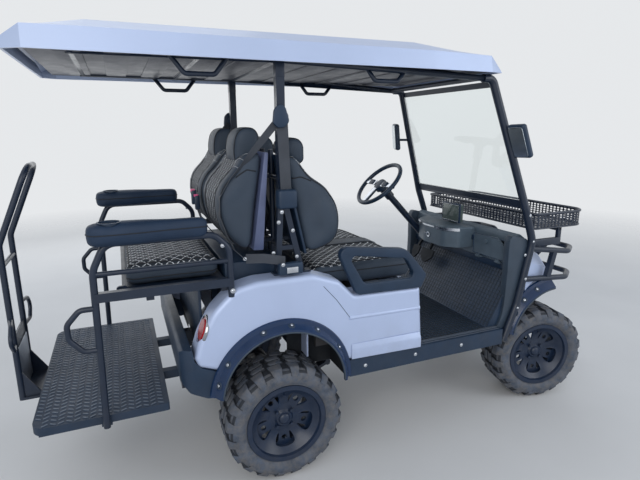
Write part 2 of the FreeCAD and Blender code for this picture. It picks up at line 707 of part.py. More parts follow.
def rear_bumper():
    """A moulded bumper across the tail, its ends wrapped forward to the flares."""
    half = d.body_half_width - 2
    rear, front = -452, -306
    plan = [(rear, -half), (rear, half), (front, half), (front, half - 34),
            (rear + 50, half - 44), (rear + 50, -half + 44), (front, -half + 34), (front, -half)]
    shell = plan_prism(plan, 400, 800, [60, 60, 0, 0, 26, 26, 0, 0])
    side = [(rear - 1, 560), (-421, 513), (-340, 470), (front, 478), (front, 592), (-362, 616),
            (-393, 650), (-400, 706), (-440, 706), (rear - 1, 690)]
    return shell.common(side_prism(side, -700, 700, [20, 20, 30, 6, 6, 20, 20, 6, 16, 8]))


keep_shape("rear_bumper", rear_bumper())

# Side sills and the floor with its sloping toe board.
sill_parts = []
for side, low_y in (("left", "body_half_width - rocker_width"), ("right", "-1 * body_half_width")):
    sill_parts.append(box(f"sill_{side}", ("rocker_rear_x + 6", low_y, "rocker_bottom"),
                          ("rocker_front_x - rocker_rear_x - 6", "rocker_width",
                           "floor_top - running_gap - rocker_bottom")))
sills = doc.addObject("Part::Compound", "sill_pair")
sills.Links = sill_parts
keep(sills, "rockers")


def floor_pan():
    """Floor plate, toe board up to the dashboard, and low walls at both sides of it."""
    half = d.body_half_width - d.rocker_width - 1
    thick = d.floor_thickness
    rear_x = d.panel_front_x - 6
    corner_x = d.wheelbase - 450
    top_x, top_z = d.wheelbase - 272, 834
    profile = [(rear_x, d.floor_top - thick), (corner_x + 6, d.floor_top - thick),
               (top_x + 16, top_z - 8), (top_x, top_z), (corner_x, d.floor_top),
               (rear_x, d.floor_top)]
    shape = side_prism(profile, -half, half)
    wall = [(corner_x, d.floor_top - 1), (corner_x + 92, d.floor_top - 1),
            (corner_x + 194, d.floor_top + 300), (top_x, top_z)]
    for low_y in (half - 26, -half):
        shape = shape.fuse(side_prism(wall, low_y, low_y + 26))
    return shape.removeSplitter()


keep_shape("floor_pan", floor_pan())


# x from the front axle, side in from the pillars' line, lower z, upper z at the side and in the middle
COWL_SECTIONS = [
    (-196, 19, 560, 930, 1010),
    (-20, 56, 560, 880, 965),
    (60, 116, 560, 845, 930),
    (120, 181, 560, 815, 900),
    (196, 256, 570, 725, 790),
]


def cowl_section(x, side_in, low, side_top, middle_top, inset):
    """A closed section: flat sides, sloping shoulders and a flat middle."""
    half = d.pillar_low_y - side_in - inset
    low -= inset
    side_top -= inset
    middle_top -= inset
    corners = [(-half, low), (half, low), (half, side_top - 60), (half - 60, side_top),
               (150, middle_top), (-150, middle_top), (-half + 60, side_top), (-half, side_top - 60)]
    return Part.makePolygon([Vector(d.wheelbase + x, y, z) for y, z in corners + corners[:1]])


def front_cowl():
    """A hollow front shell over the wheels, open below, with its wheel openings."""
    def loft(inset, rear_shift, front_shift):
        wires = []
        for i, (x, *rest) in enumerate(COWL_SECTIONS):
            shift = rear_shift if i == 0 else front_shift if i == len(COWL_SECTIONS) - 1 else 0
            wires.append(cowl_section(x + shift, *rest, inset))
        return Part.makeLoft(wires, True, True)
    shell = loft(0, 0, 0).cut(loft(d.panel + 2, -1, -d.panel))
    arch = Part.makeCylinder(d.front_arch_radius, 1200,
                             Vector(d.wheelbase, -600, d.front_arch_z), LEFT)
    middle = Part.makeBox(900, 2 * 150, 900, Vector(d.wheelbase - 450, -150, 0))
    return shell.cut(arch.cut(middle))


keep_shape("front_cowl", front_cowl())


def headlamp():
    """A lamp on the slanting front corner of the cowl."""
    corners = [(104, 170), (182, 248), (204, 239), (124, 149)]
    return plan_prism([(d.wheelbase + x, d.pillar_low_y - side_in) for x, side_in in corners],
                      628, 712, [3, 3, 8, 12])


keep_shape("headlamps", *both_sides(headlamp()))


def lid_pin(y, length, radius):
    """A length of round bar about the lid's hinge line."""
    return Part.makeCylinder(radius, length, Vector(d.wheelbase - 318, y, d.lid_hinge_z), LEFT)


def dashboard():
    """Dashboard with a glove compartment at the right and a console bulging to the rear."""
    back = d.wheelbase
    profile = [(back - 306, 860), (back - 290, 1022), (back - 250, 1036), (back - 204, 1004),
               (back - 224, 842), (back - 262, 838)]
    shape = side_prism(profile, -d.dash_half_width, d.dash_half_width, [8, 20, 12, 8, 8, 8])
    console = plan_prism([(back - 294, -152), (back - 400, -140), (back - 470, -70),
                          (back - 474, 120), (back - 420, 262), (back - 294, 330)],
                         898, 1024, [0, 40, 60, 80, 60, 0])
    side = -d.dash_half_width
    pocket = Part.makeBox(60, 236, 92, Vector(back - 310, side + 30, 892))
    column = Part.makeCylinder(d.column_radius + 1, 400, Vector(back - 520, d.wheel_y, 1030),
                               Vector(math.cos(math.radians(d.column_angle)), 0,
                                      -math.sin(math.radians(d.column_angle))))
    console = softened(console, 14, lambda edge: edge.BoundBox.ZMin > 1020)
    pins = []
    for y in (side + 58, side + 222):
        pins.append(lid_pin(y, 46, d.lid_pin))
        for end in (y, y + 36):
            pins.append(Part.makeBox(30, 10, 12, Vector(back - 322, end, d.lid_hinge_z - 6)))
    return joined(shape.cut(pocket).fuse(console).cut(column), *pins)


keep_shape("dashboard", dashboard())


def glovebox_lid():
    """The lid over the glove compartment, with a round knob and two hinge eyes."""
    back = d.wheelbase - 306
    side = -d.dash_half_width
    lid = front_prism([(side + 14, 884), (side + 290, 874), (side + 290, 986), (side + 98, 1001),
                       (side + 14, 950)], back - 16, back - 4, [26, 6, 6, 40, 30])
    knob = Part.makeCylinder(13, 16, Vector(back - 16, side + 174, 966), FORWARD * -1)
    parts = [lid, knob]
    for y in (side + 70, side + 234):
        pin, bore = lid_pin(y, 22, 9), lid_pin(y - 1, 24, d.lid_pin + d.running_gap)
        link = Part.makeBox(12, 22, 20, Vector(back - 16, y, d.lid_hinge_z + 4))
        parts.append(pin.fuse(link).cut(bore))
    return joined(*parts)


keep_shape("glovebox_lid", glovebox_lid())


def display():
    """A screen standing on the console."""
    screen = Part.makeBox(28, 158, 106, Vector(d.wheelbase - 342, -62, 1040))
    foot = Part.makeBox(20, 60, 19, Vector(d.wheelbase - 338, -14, 1024))
    return joined(softened(screen, 4, lambda edge: True), foot)


keep_shape("display", display())


def steering():
    """Hub, column and the plane of the steering wheel."""
    slope = math.radians(d.column_angle)
    away = Vector(math.cos(slope), 0, -math.sin(slope))
    hub = Vector(d.wheelbase - 732, d.wheel_y, 1266)
    return hub, away


def steering_column():
    hub, away = steering()
    start = hub + away * 34
    column = Part.makeCylinder(d.column_radius, 470, start, away)
    collar = Part.makeCylinder(d.column_radius + 8, 90, start, away)
    return joined(column, collar)


keep_shape("steering_column", steering_column())


def steering_wheel():
    """Ring, hub and three spokes."""
    hub, away = steering()
    ring = Part.makeTorus(d.wheel_ring, d.wheel_grip, hub, away)
    core = Part.makeCylinder(38, 30, hub, away)
    parts = [core]
    across = Vector(0, 1, 0)
    up = away.cross(across)
    for angle in (0, 180, 270):
        turn = math.radians(angle)
        ahead = across * math.cos(turn) + up * math.sin(turn)
        start = hub + away * 10
        parts.append(Part.makeCylinder(9, d.wheel_ring, start, ahead))
    shaft = Part.makeCylinder(12, 4, hub + away * 30 - away * 0.3, away)
    return joined(*parts, shaft).fuse(ring)


keep_shape("steering_wheel", steering_wheel())


def pedals():
    """Two pads on arms under the dashboard, left of the console."""
    solids = []
    for y, width in ((190, 128), (318, 74)):
        x = d.wheelbase - 404
        pad = front_prism([(y - width / 2, 820), (y + width / 2, 820), (y + width / 2, 770),
                           (y, 716), (y - width / 2, 770)], x, x + 12, [6, 6, 20, width / 4, 20])
        pad.rotate(Vector(x, y, 770), LEFT, 24)
        arm = bar((x + 24, y, 800), (x + 98, y, 910), 16, 16)
        solids.append(joined(pad, arm))
    return solids


keep_shape("pedals", *pedals())


# Windscreen and roof.

def glass_side():
    """The left pillar's straight run beside the glass: its foot and its head."""
    foot = Vector(d.pillar_bend_x, d.pillar_low_y, d.pillar_bend_z)
    head = Vector(d.pillar_top_x, d.pillar_top_y, d.roof_rail_z + 8)
    return foot, head


def windscreen_frame():
    """Two pillars bent over into the roof's rails, and flat bars above and below the glass."""
    foot, head = glass_side()
    y = d.pillar_low_y
    pillar = tube([(d.wheelbase - 352, y + 4, 440), (d.wheelbase - 272, y, 640),
                   (d.wheelbase - 196, y, 1000), foot, head, (head.x - 60, head.y, head.z)],
                  d.pillar_tube, [0, 60, 120, 120, 40, 0])
    bars = []
    for share, size in ((0.02, 40), (0.94, 30)):
        end = foot + (head - foot) * share
        across = (head - foot).normalize() * size
        flat = Part.Face(Part.makePolygon([end, end + across, end + across + Vector(10, 0, 3),
                                           end + Vector(10, 0, 3), end]))
        bars.append(flat.extrude(LEFT * (-2 * end.y)))
    dash_bar = Part.makeCylinder(12, 2 * y, Vector(d.wheelbase - 209, -y, 940), LEFT)
    return joined(pillar, mirrored(pillar), *bars, dash_bar)


keep_shape("windscreen_frame", windscreen_frame())


def windscreen():
    """Flat glass between the pillars."""
    foot, head = glass_side()
    low = foot + (head - foot) * 0.02 + (head - foot).normalize() * (40 + d.running_gap)
    high = foot + (head - foot) * 0.94 - (head - foot).normalize() * d.running_gap
    edge = d.pillar_tube / 2 + 3
    corners = [Vector(low.x, low.y - edge, low.z), Vector(high.x, high.y - edge, high.z),
               Vector(high.x, edge - high.y, high.z), Vector(low.x, edge - low.y, low.z)]
    normal = (corners[1] - corners[0]).cross(corners[3] - corners[0]).normalize()
    sheet_face = Part.Face(Part.makePolygon(corners + corners[:1]))
    return sheet_face.extrude(normal * d.glass_thickness)


keep_shape("windscreen", windscreen())

# x, side in from the roof's half width, height of the side above the eave, height of the ridge
ROOF_SECTIONS = [
    (0, 38, 36, 58),
    (70, 0, 78, 110),
    (260, 0, 81, 168),
    (1700, 0, 81, 180),
    (2034, 8, 76, 122),
    (2108, 26, 18, 36),
]


def roof():
    """A canopy moulded as one shell: low sides, a crease and a raised middle."""
    scale = (d.roof_front_x - d.roof_rear_x) / ROOF_SECTIONS[-1][0]
    crease = d.roof_crease - d.roof_eave
    ridge = d.roof_ridge - d.roof_eave

    def section(x, side_in, side, middle, inset, drop):
        side = side * crease / 81
        middle = middle * ridge / 180
        half = d.roof_half_width - side_in
        eave = d.roof_eave - drop
        corners = [(-half + inset, eave), (half - inset, eave),
                   (half - 14 - inset, d.roof_eave + side - inset),
                   (half - 190, d.roof_eave + (side + middle) / 2 + 12 - inset),
                   (150, d.roof_eave + middle - inset), (-150, d.roof_eave + middle - inset),
                   (190 - half, d.roof_eave + (side + middle) / 2 + 12 - inset),
                   (inset + 14 - half, d.roof_eave + side - inset)]
        return Part.makePolygon([Vector(d.roof_rear_x + x * scale, y, z)
                                 for y, z in corners + corners[:1]])

    outer = Part.makeLoft([section(*row, 0, 0) for row in ROOF_SECTIONS], True, True)
    inner_rows = [(x + (d.roof_wall if i == 0 else -d.roof_wall if i == len(ROOF_SECTIONS) - 1 else 0),
                   *rest) for i, (x, *rest) in enumerate(ROOF_SECTIONS)]
    inner = Part.makeLoft([section(*row, d.roof_wall, 5) for row in inner_rows], True, True)
    return outer.cut(inner)


keep_shape("roof", roof())


def roof_frame():
    """Two rails under the roof, joined across at five places."""
    rail_y = d.pillar_top_y
    size = d.roof_tube
    front = glass_side()[1]
    rail = tube([(d.roof_rear_x + 190, rail_y - 26, d.roof_rail_z + 8),
                 (d.strut_x, rail_y, d.roof_rail_z + 8),
                 (front.x - 60, rail_y, d.roof_rail_z + 8)], size, 400)
    parts = [rail, mirrored(rail)]
    for x in (d.roof_rear_x + 205, d.strut_x - 320, d.strut_x, 560, front.x - 80):
        parts.append(Part.makeCylinder(size / 2 - 2, 2 * rail_y - 6,
                                       Vector(x, 3 - rail_y, d.roof_rail_z + 8), LEFT))
    return joined(*parts)


keep_shape("roof_frame", roof_frame())


def roof_handle(middle_x):
    """A grab handle below a roof rail."""
    y = d.pillar_top_y
    top = d.roof_rail_z + 4
    return tube([(middle_x - 112, y, top), (middle_x - 60, y, top - 66),
                 (middle_x + 60, y, top - 66), (middle_x + 112, y, top)], 20, 24)


handles = []
for middle_x in (-286, 560):
    handles.extend(both_sides(roof_handle(middle_x)))
keep_shape("roof_handles", *handles)


def rear_strut():
    """A square strut up to the roof rail on two splayed legs with a foot plate."""
    x, y = d.strut_x, d.strut_y
    foot_z = d.shoulder_top + d.running_gap
    knee_z = 1300
    post = bar((x, y, knee_z - 20), (x, y, d.roof_rail_z), d.strut_size, d.strut_size)
    rear_leg = bar((x - 26, y, foot_z + 6), (x - 8, y, knee_z), 24, 26)
    front_leg = bar((x + 86, y, foot_z + 6), (x + 10, y, knee_z), 24, 26)
    foot = Part.makeBox(176, 50, 8, Vector(x - 54, y - 14, foot_z))
    brace = bar((x - 20, y, 1090), (x + 58, y, 1090), 20, 20)
    return joined(post, rear_leg, front_leg, foot, brace)


keep_shape("rear_struts", *both_sides(rear_strut()))


def belt_gear(side):
    """The belt reel on a strut's knee and the guide above it."""
    reel = Part.makeBox(70, 56, 66, Vector(d.strut_x - 30, 0, 1284))
    reel = softened(reel, 10, lambda edge: True)
    guide = Part.makeCylinder(26, 20, Vector(d.strut_x, 0, d.roof_rail_z - 188), LEFT)
    outer_y = d.strut_y + d.strut_size / 2 + d.running_gap
    pieces = []
    for piece in (reel, guide):
        piece.translate(Vector(0, outer_y, 0))
        pieces.append(piece if side > 0 else mirrored(piece))
    return pieces


keep_shape("belt_reels", *belt_gear(1), *belt_gear(-1))


# Seats.

FRONT_BACK = [(50, 1512), (96, 1512), (156, 1408), (262, 1330), (314, 1190), (282, 1082), (182, 1040),
              (160, 1044)]
REAR_BACK = [(-44, 1530), (-96, 1530), (-150, 1440), (-226, 1368), (-240, 1262), (-206, 1150),
             (-140, 1080), (-108, 1076)]
FRONT_HEAD = [(78, 1512), (80, 1584), (196, 1584), (202, 1440), (140, 1440)]
REAR_HEAD = [(-30, 1532), (-34, 1624), (-164, 1624), (-170, 1480), (-100, 1480)]


def seat_back(points, radii, head, head_radii):
    """One padded back with its headrest."""
    low_y = d.back_half_gap
    pad = side_prism(points, low_y, low_y + d.back_width, radii)
    middle = low_y + d.back_width / 2
    half = d.headrest_width / 2
    rest = side_prism(head, middle - half, middle + half, head_radii)
    return joined(pad, rest)


front_back = seat_back(FRONT_BACK, [6, 16, 90, 110, 100, 70, 12, 6], FRONT_HEAD, [4, 46, 46, 30, 4])
keep_shape("front_seat_backs", *both_sides(front_back))
rear_back = seat_back(REAR_BACK, [6, 20, 80, 70, 90, 90, 20, 6], REAR_HEAD, [4, 52, 52, 30, 4])
keep_shape("rear_seat_backs", *both_sides(rear_back))


def seat_back_frame():
    """Tubes between the seat backs that carry them on the struts' legs."""
    x = d.strut_x
    half = d.strut_y - 13
    bars = []
    for z in (1090, 1400):
        bars.append(Part.makeCylinder(12, 2 * half, Vector(x, -half, z), LEFT))
    for y in (-300, -150, 150, 300):
        bars.append(Part.makeCylinder(12, 560, Vector(x, y, 960), UP))
    deck_plate = Part.makeBox(60, 2 * half, 8, Vector(x - 30, -half, 955))
    posts = [Part.makeBox(30, 30, 955 - d.deck_top, Vector(x - 15, y - 15, d.deck_top))
             for y in (-300, 300)]
    for y in (-300, -150, 150, 300):
        bars.append(Part.makeBox(276, 20, 16, Vector(x - 156, y - 10, 1092)))
        bars.append(Part.makeBox(160, 20, 16, Vector(x - 112, y - 10, 1392)))
    return joined(*bars, deck_plate, *posts)


keep_shape("seat_back_frame", seat_back_frame())


def front_cushion():
    """The front bench: rounded at the front, narrower between the rear quarters."""
    low = d.cushion_top - d.cushion_thickness
    wide, narrow = d.seat_half_width, d.seat_rear_half_width
    shape = side_prism([(d.cushion_rear_x, low), (d.cushion_front_x - 20, low),
                        (d.cushion_front_x, low + 30), (d.cushion_front_x - 8, d.cushion_top),
                        (d.cushion_rear_x, d.cushion_top)], -wide, wide, [8, 16, 20, 44, 20])
    half = [(d.cushion_rear_x, narrow), (372, narrow), (408, wide), (d.cushion_front_x, wide)]
    other = [(x, -y) for x, y in reversed(half)]
    return shape.common(plan_prism(half + other, low, d.cushion_top, [0, 20, 20, 50, 50, 20, 20, 0]))


keep_shape("front_cushion", front_cushion())


def hip_loop():
    """A moulded side guard beside the front seat, with its opening."""
    low_y = d.armrest_y - 20
    outer = [(268, 1062), (308, 1086), (628, 1048), (752, 904), (722, d.panel_top + 0.3),
             (366, d.panel_top + 8.3)]
    inner = [(318, 1044), (628, 1000), (690, 896), (404, 900)]
    loop = side_prism(outer, low_y, low_y + 40, [36, 36, 80, 26, 14, 30])
    hole = side_prism(inner, low_y - 1, low_y + 41, [20, 50, 24, 30])
    return loop.cut(hole)


keep_shape("hip_loops", *both_sides(hip_loop()))


def rear_cushion():
    """The rear bench cushion on its deck."""
    low = d.rear_pivot_z - 8
    x0 = d.rear_cushion_front_x - d.rear_cushion_length
    half = d.rear_cushion_half_width
    return plan_prism([(x0, -half), (x0, half), (d.rear_cushion_front_x, half),
                       (d.rear_cushion_front_x, -half)], low, low + d.rear_cushion_thickness, 46)


keep_shape("rear_cushion", rear_cushion())


def rear_seat_pan():
    """The steel deck under the rear cushion with an ear at each flip pivot."""
    top = d.rear_pivot_z - 8 - d.running_gap
    x0 = d.rear_cushion_front_x - d.rear_cushion_length
    half = d.rear_cushion_half_width + 6
    deck = Part.makeBox(d.rear_cushion_length - 4, 2 * half, d.pan_thickness,
                        Vector(x0 + 2, -half, top - d.pan_thickness))
    parts = [deck]
    for side in (1, -1):
        y = side * (half + 12)
        web = Part.makeBox(40, 30, d.pan_thickness, Vector(
            d.rear_pivot_x + 6, y - 15, top - d.pan_thickness))
        x, z = d.rear_pivot_x, d.rear_pivot_z
        profile = [(x - 16, z - 16), (x + 46, top - d.pan_thickness), (x + 46, top),
                   (x + 16, z + 16), (x - 16, z + 16)]
        ear = side_prism(profile, y + 4 * side - 5, y + 4 * side + 5, [12, 0, 0, 12, 12])
        bore = Part.makeCylinder(8 + d.running_gap, 60, Vector(x, y - 30, z), LEFT)
        parts.append(web)
        parts.append(ear.cut(bore))
    return joined(*parts)


keep_shape("rear_seat_pan", rear_seat_pan())


def armrest_frame():
    """The left frame: upright, top run under the pad, front leg, two rails and a hand loop."""
    y = d.armrest_y
    top = d.armrest_top - d.armrest_thickness - d.armrest_tube / 2 - d.running_gap
    rear_x, front_x = -752, -222
    loop = tube([(rear_x, y, d.footplate_top - 44), (rear_x + 10, y, 1090), (rear_x + 60, y, top),
                 (front_x - 60, y, top), (front_x, y, 1130), (front_x, y, 920)],
                d.armrest_tube, [0, 120, 60, 60, 70, 0])
    rail = box_shape(rear_x, y - 15, d.rear_pivot_z - d.armrest_rail / 2,
                     front_x - rear_x, 30, d.armrest_rail)
    upper = Part.makeCylinder(10, front_x - rear_x - 6, Vector(rear_x + 6, y, 1078), FORWARD)
    hand = tube([(rear_x, y, 945), (rear_x - 50, y, 945), (rear_x - 98, y, 892),
                 (rear_x - 98, y, 832), (rear_x - 50, y, 776), (rear_x, y, 776)],
                22, [0, 34, 34, 34, 34, 0])
    pin = Part.makeCylinder(8, y - d.rear_cushion_half_width - d.running_gap - 14,
                            Vector(d.rear_pivot_x, y - 10, d.rear_pivot_z), LEFT * -1)
    return joined(loop, rail, upper, hand, pin)


def armrest_frames():
    """Both armrest frames, tied by bars under the seat deck."""
    frame = armrest_frame()
    half = d.armrest_y - 10
    top = d.rear_pivot_z - 8 - 2 * d.running_gap - d.pan_thickness
    ties = [box_shape(x, -half, top - 24, 30, 2 * half, 24) for x in (-560, -262)]
    posts = [box_shape(-262, y - 15, d.deck_top, 30, 30, top - 24 - d.deck_top) for y in (-250, 250)]
    return joined(frame, mirrored(frame), *ties, *posts)


keep_shape("armrest_frames", armrest_frames())


def armrest_pad():
    """A padded arm, wide over the cup holder and narrow at the front."""
    y = d.armrest_y
    low = d.armrest_top - d.armrest_thickness
    plan = [(-757, y - 62), (-757, y + 58), (-560, y + 54), (-470, y + 34), (-300, y + 30),
            (-300, y - 38), (-470, y - 40), (-560, y - 62)]
    pad = plan_prism(plan, low, d.armrest_top, [52, 52, 60, 60, 30, 30, 60, 60])
    cup = Part.makeCylinder(d.cup_radius, d.cup_depth + 1, Vector(-668, y - 2, d.armrest_top - d.cup_depth))
    return pad.cut(cup)


keep_shape("armrest_pads", *both_sides(armrest_pad()))


def footplate():
    """The tread plate with a turned-down edge on two arms from the frame."""
    low = d.footplate_top - d.footplate_thickness
    half = d.footplate_half_width
    corners = [(d.footplate_rear_x, -half), (d.footplate_rear_x, half),
               (d.footplate_front_x, half), (d.footplate_front_x, -half)]
    plate = plan_prism(corners, low, d.footplate_top, [60, 60, 10, 10])
    skirt = plan_prism(corners, low - d.footplate_skirt, low, [60, 60, 10, 10])
    wall = d.footplate_thickness
    inside = [(d.footplate_rear_x + wall, wall - half), (d.footplate_rear_x + wall, half - wall),
              (d.footplate_front_x - wall, half - wall), (d.footplate_front_x - wall, wall - half)]
    skirt = skirt.cut(plan_prism(inside, low - d.footplate_skirt - 1, low, [54, 54, 4, 4]))
    parts = [plate, skirt]
    arm_low = low - d.arm_size
    for side in (1, -1):
        parts.append(box_shape(d.footplate_rear_x + 30, side * d.arm_y - d.arm_size / 2, arm_low,
                               -430 - d.running_gap - d.footplate_rear_x - 30, d.arm_size, d.arm_size))
        parts.append(box_shape(-772, side * (half - 19) - 20, arm_low, 40, 40, d.arm_size))
    for x in (-1000, -772, -560):
        parts.append(box_shape(x, 20 - half, arm_low, 40, 2 * half - 40, d.arm_size))
    return joined(*parts)


keep_shape("footplate", footplate())


def bag_rack():
    """The grab bar behind the footplate: a bent loop, a brace, a sheet and two bag rests."""
    x, y, size = d.rack_x, d.rack_y, d.rack_tube
    bend_z = 1138
    top_x = x + 138
    low = d.footplate_top - 58
    loop = tube([(x, y, low), (x, y, bend_z), (top_x, y, d.rack_top), (top_x, -y, d.rack_top),
                 (x, -y, bend_z), (x, -y, low)], size, [0, 60, 70, 70, 60, 0])
    brace = Part.makeCylinder(10, 2 * y - 8, Vector(x, 4 - y, 1046), LEFT)
    sheet_part = box_shape(x - 4, -y, low, 8, 2 * y, 300)
    foot = box_shape(x, -y - 13, low, d.footplate_rear_x + 60 - x, 2 * y + 26, 12)
    parts = [loop, brace, sheet_part, foot]
    for side in (1, -1):
        parts.append(side_prism([(x, low), (x + 92, low), (x, low + 150)],
                                side * y - 3, side * y + 3))
        parts.append(tube([(x, side * y, 686), (x + 14, side * (y + 84), 692),
                           (x + 14, side * (y + 134), 746), (x + 14, side * (y + 84), 800),
                           (x, side * y, 806)], 18, [0, 30, 36, 30, 0]))
    return joined(*parts)


keep_shape("bag_rack", bag_rack())


# Front guard and basket.

def front_guard():
    """Two hoops from pillar to pillar around the nose, tied by upright struts."""
    y = d.guard_half_width
    front = d.wheelbase + d.guard_front
    pillar_x = d.wheelbase - 190

    def hoop(start_z, front_z, start_x, middle_y, middle_z):
        side = [(start_x, y, start_z), (front - 130, y - 6, front_z + 6),
                (front - 8, y - 96, front_z), (front - 8, middle_y + 90, front_z),
                (front - 8, middle_y, middle_z)]
        other = [(x, -across, z) for x, across, z in reversed(side)]
        return tube(side + other, d.guard_tube, [0, 70, 60, 50, 50, 50, 50, 60, 70, 0])

    parts = [hoop(950, 902, pillar_x + 12, 150, 790), hoop(777, 745, pillar_x - 26, 90, 745)]
    for side in (1, -1):
        parts.append(bar((d.wheelbase - 2, side * (y - 5), 925), (d.wheelbase - 42, side * (y - 3), 765),
                         28, 30))
    return joined(*parts)


keep_shape("front_guard", front_guard())


def basket():
    """An open tray of sheet with a round rim, on a beam between the pillars."""
    rear = d.wheelbase + d.basket_rear
    front = d.wheelbase + d.basket_front
    half = d.basket_half_width
    low = d.basket_top - d.basket_depth
    wall = d.basket_wall
    plan = [(rear, -half), (rear, half), (front, half), (front, -half)]
    radii = [30, 30, 90, 90]
    outer = plan_prism(plan, low, d.basket_top, radii)
    inside = [(rear + wall, wall - half), (rear + wall, half - wall), (front - wall, half - wall),
              (front - wall, wall - half)]
    inner = plan_prism(inside, low + wall, d.basket_top + 1, [r - wall for r in radii])
    rim_outer = plan_prism([(rear - 5, -half - 5), (rear - 5, half + 5), (front + 5, half + 5),
                            (front + 5, -half - 5)], d.basket_top - 12, d.basket_top,
                           [r + 5 for r in radii])
    foot = plan_prism([(rear - 5, -half - 5), (rear - 5, half + 5), (front + 5, half + 5),
                       (front + 5, -half - 5)], low, low + 8, [r + 5 for r in radii])
    post_x = front - 210
    arms = []
    for side in (1, -1):
        arms.append(box_shape(rear - 48, side * (half - 13) - 12, low - 100, post_x + 26 - rear + 48, 24, 42))
        arms.append(box_shape(post_x, side * (half - 13) - 12, low - 60, 26, 24, 61))
    beam = box_shape(post_x, -half + 40, low - 24, 26, 2 * half - 80, 24)
    return joined(outer, rim_outer, foot, beam, *arms).cut(inner)


keep_shape("basket", basket())


# side, middle from the pillar's head (ahead, down), turn towards the driver, lean along the pillar
MIRRORS = [(1, 39, 300, 20, 6), (-1, 112, 310, 4, 23)]


def mirror(side, ahead, down, turn, lean):
    """A door mirror on a short arm from the pillar."""
    head = Part.makeBox(34, 108, 180, Vector(-17, -54, -90))
    head = softened(head, 15, lambda edge: True)
    head.rotate(ORIGIN, UP, -side * turn)
    head.rotate(ORIGIN, LEFT, -lean)
    foot, top = glass_side()
    x, z = top.x + ahead, top.z - down
    middle = Vector(x, side * (d.body_half_width + 2) + (1.7 if side > 0 else 0), z)
    head.translate(middle)
    share = (z - 20 - foot.z) / (top.z - foot.z)
    pillar = foot + (top - foot) * share
    pillar.y *= side
    start = middle - UP * 20
    arm = Part.makeCylinder(8, (pillar - start).Length, start, pillar - start)
    return joined(head, arm)


keep_shape("mirrors", *(mirror(*row) for row in MIRRORS))


# Where two pieces meet, the first is cut back to the others' surfaces.
MEETINGS = [
    ("windscreen_frame", "roof"),
    ("mirrors", "windscreen_frame"),
    ("front_guard", "front_cowl", "windscreen_frame"),
    ("front_flares", "windscreen_frame", "front_cowl", "front_guard"),
    ("basket", "windscreen_frame", "front_guard"),
    ("suspension", "rear_axle", "chassis_frame", "motor_block", "front_axle"),
    ("rear_bumper", "rear_body"),
    ("armrest_frames", "rear_body"),
    ("footplate", "armrest_frames", "chassis_frame"),
    ("front_seat_backs", "rear_struts"),
    ("rear_struts", "roof_frame"),
    ("seat_back_frame", "rear_struts", "rear_body", "front_seat_backs", "rear_seat_backs"),
    ("roof_handles", "roof_frame"),
    ("steering_column", "dashboard"),
    ("pedals", "dashboard"),
    ("dashboard", "windscreen_frame"),
    ("front_cowl", "dashboard", "windscreen_frame"),
    ("headlamps", "front_cowl"),
]
by_label = {piece.Label: piece for piece in NODES}
for label, *others in MEETINGS:
    doc.recompute()
    rest = by_label[label].Shape
    for other in others:
        rest = rest.cut(by_label[other].Shape)
    rest.translate(Vector(-d.rear_axle_x, 0, 0))
    largest = [solid for solid in rest.Solids if solid.Volume > 2000]
    by_label[label].Shape = Part.makeCompound(largest)

# Check every object, then write one file per node.
doc.recompute()
for item in doc.Objects:
    if {"Invalid", "Error"} & set(item.State):
        raise RuntimeError(f"{item.Name} failed: {item.State}")
for piece in NODES:
    shape = piece.Shape
    if shape.isNull() or not shape.isValid() or not shape.Solids:
        raise RuntimeError(f"{piece.Label} has no valid solid")

os.makedirs("parts", exist_ok=True)
for piece in NODES:
    piece.Shape.exportStep(f"parts/{piece.Label}.step")
    print(piece.Label, len(piece.Shape.Solids), round(piece.Shape.Volume / 1e6, 3))
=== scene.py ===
import json
import math

import bmesh
import bpy
from mathutils import Matrix, Vector


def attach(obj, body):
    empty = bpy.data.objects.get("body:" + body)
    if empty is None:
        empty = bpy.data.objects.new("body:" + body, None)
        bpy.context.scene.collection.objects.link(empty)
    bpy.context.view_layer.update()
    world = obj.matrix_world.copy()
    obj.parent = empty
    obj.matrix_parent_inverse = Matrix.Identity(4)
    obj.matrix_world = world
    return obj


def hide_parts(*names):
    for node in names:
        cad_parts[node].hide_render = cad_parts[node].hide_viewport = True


# A lifted four-seat golf cart, dressed over its CAD frame.
# Metres, X forward, Y to the cart's left, Z up.

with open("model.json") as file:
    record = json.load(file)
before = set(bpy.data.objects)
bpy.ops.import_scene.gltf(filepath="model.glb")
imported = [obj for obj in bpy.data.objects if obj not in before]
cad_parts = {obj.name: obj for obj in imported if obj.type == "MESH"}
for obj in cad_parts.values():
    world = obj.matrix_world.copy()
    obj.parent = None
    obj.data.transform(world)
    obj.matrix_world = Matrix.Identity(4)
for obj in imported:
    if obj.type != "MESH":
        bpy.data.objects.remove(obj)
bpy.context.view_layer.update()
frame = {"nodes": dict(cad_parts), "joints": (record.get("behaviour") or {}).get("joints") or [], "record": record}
JOINTS = {joint["name"]: joint for joint in frame["joints"]}
REAR_AXLE = Vector(JOINTS["rear_left_spin"]["pos_m"])
UP = Vector((0, 0, 1))
LEFT = Vector((0, 1, 0))


def place(x, y, z):
    """A point from millimetres ahead of the rear axle, left of the middle and above the ground."""
    return Vector((REAR_AXLE.x + x / 1000, y / 1000, z / 1000))


def ahead_of_axle(x):
    """How far ahead a place lies, in metres, from millimetres ahead of the rear axle."""
    return place(x, 0, 0).x


# Camera: where the photograph was taken from, with its turns in radians.
CAMERA_PLACE = place(-614.7, -2450.9, 1604.8)
CAMERA_YAW = 0.3938
CAMERA_PITCH = 0.2252
CAMERA_ROLL = -0.0048
# Lens and sensor in millimetres, the farthest place seen in metres.
CAMERA_LENS = 26.945
SENSOR_WIDTH = 36
FARTHEST_SEEN = 60


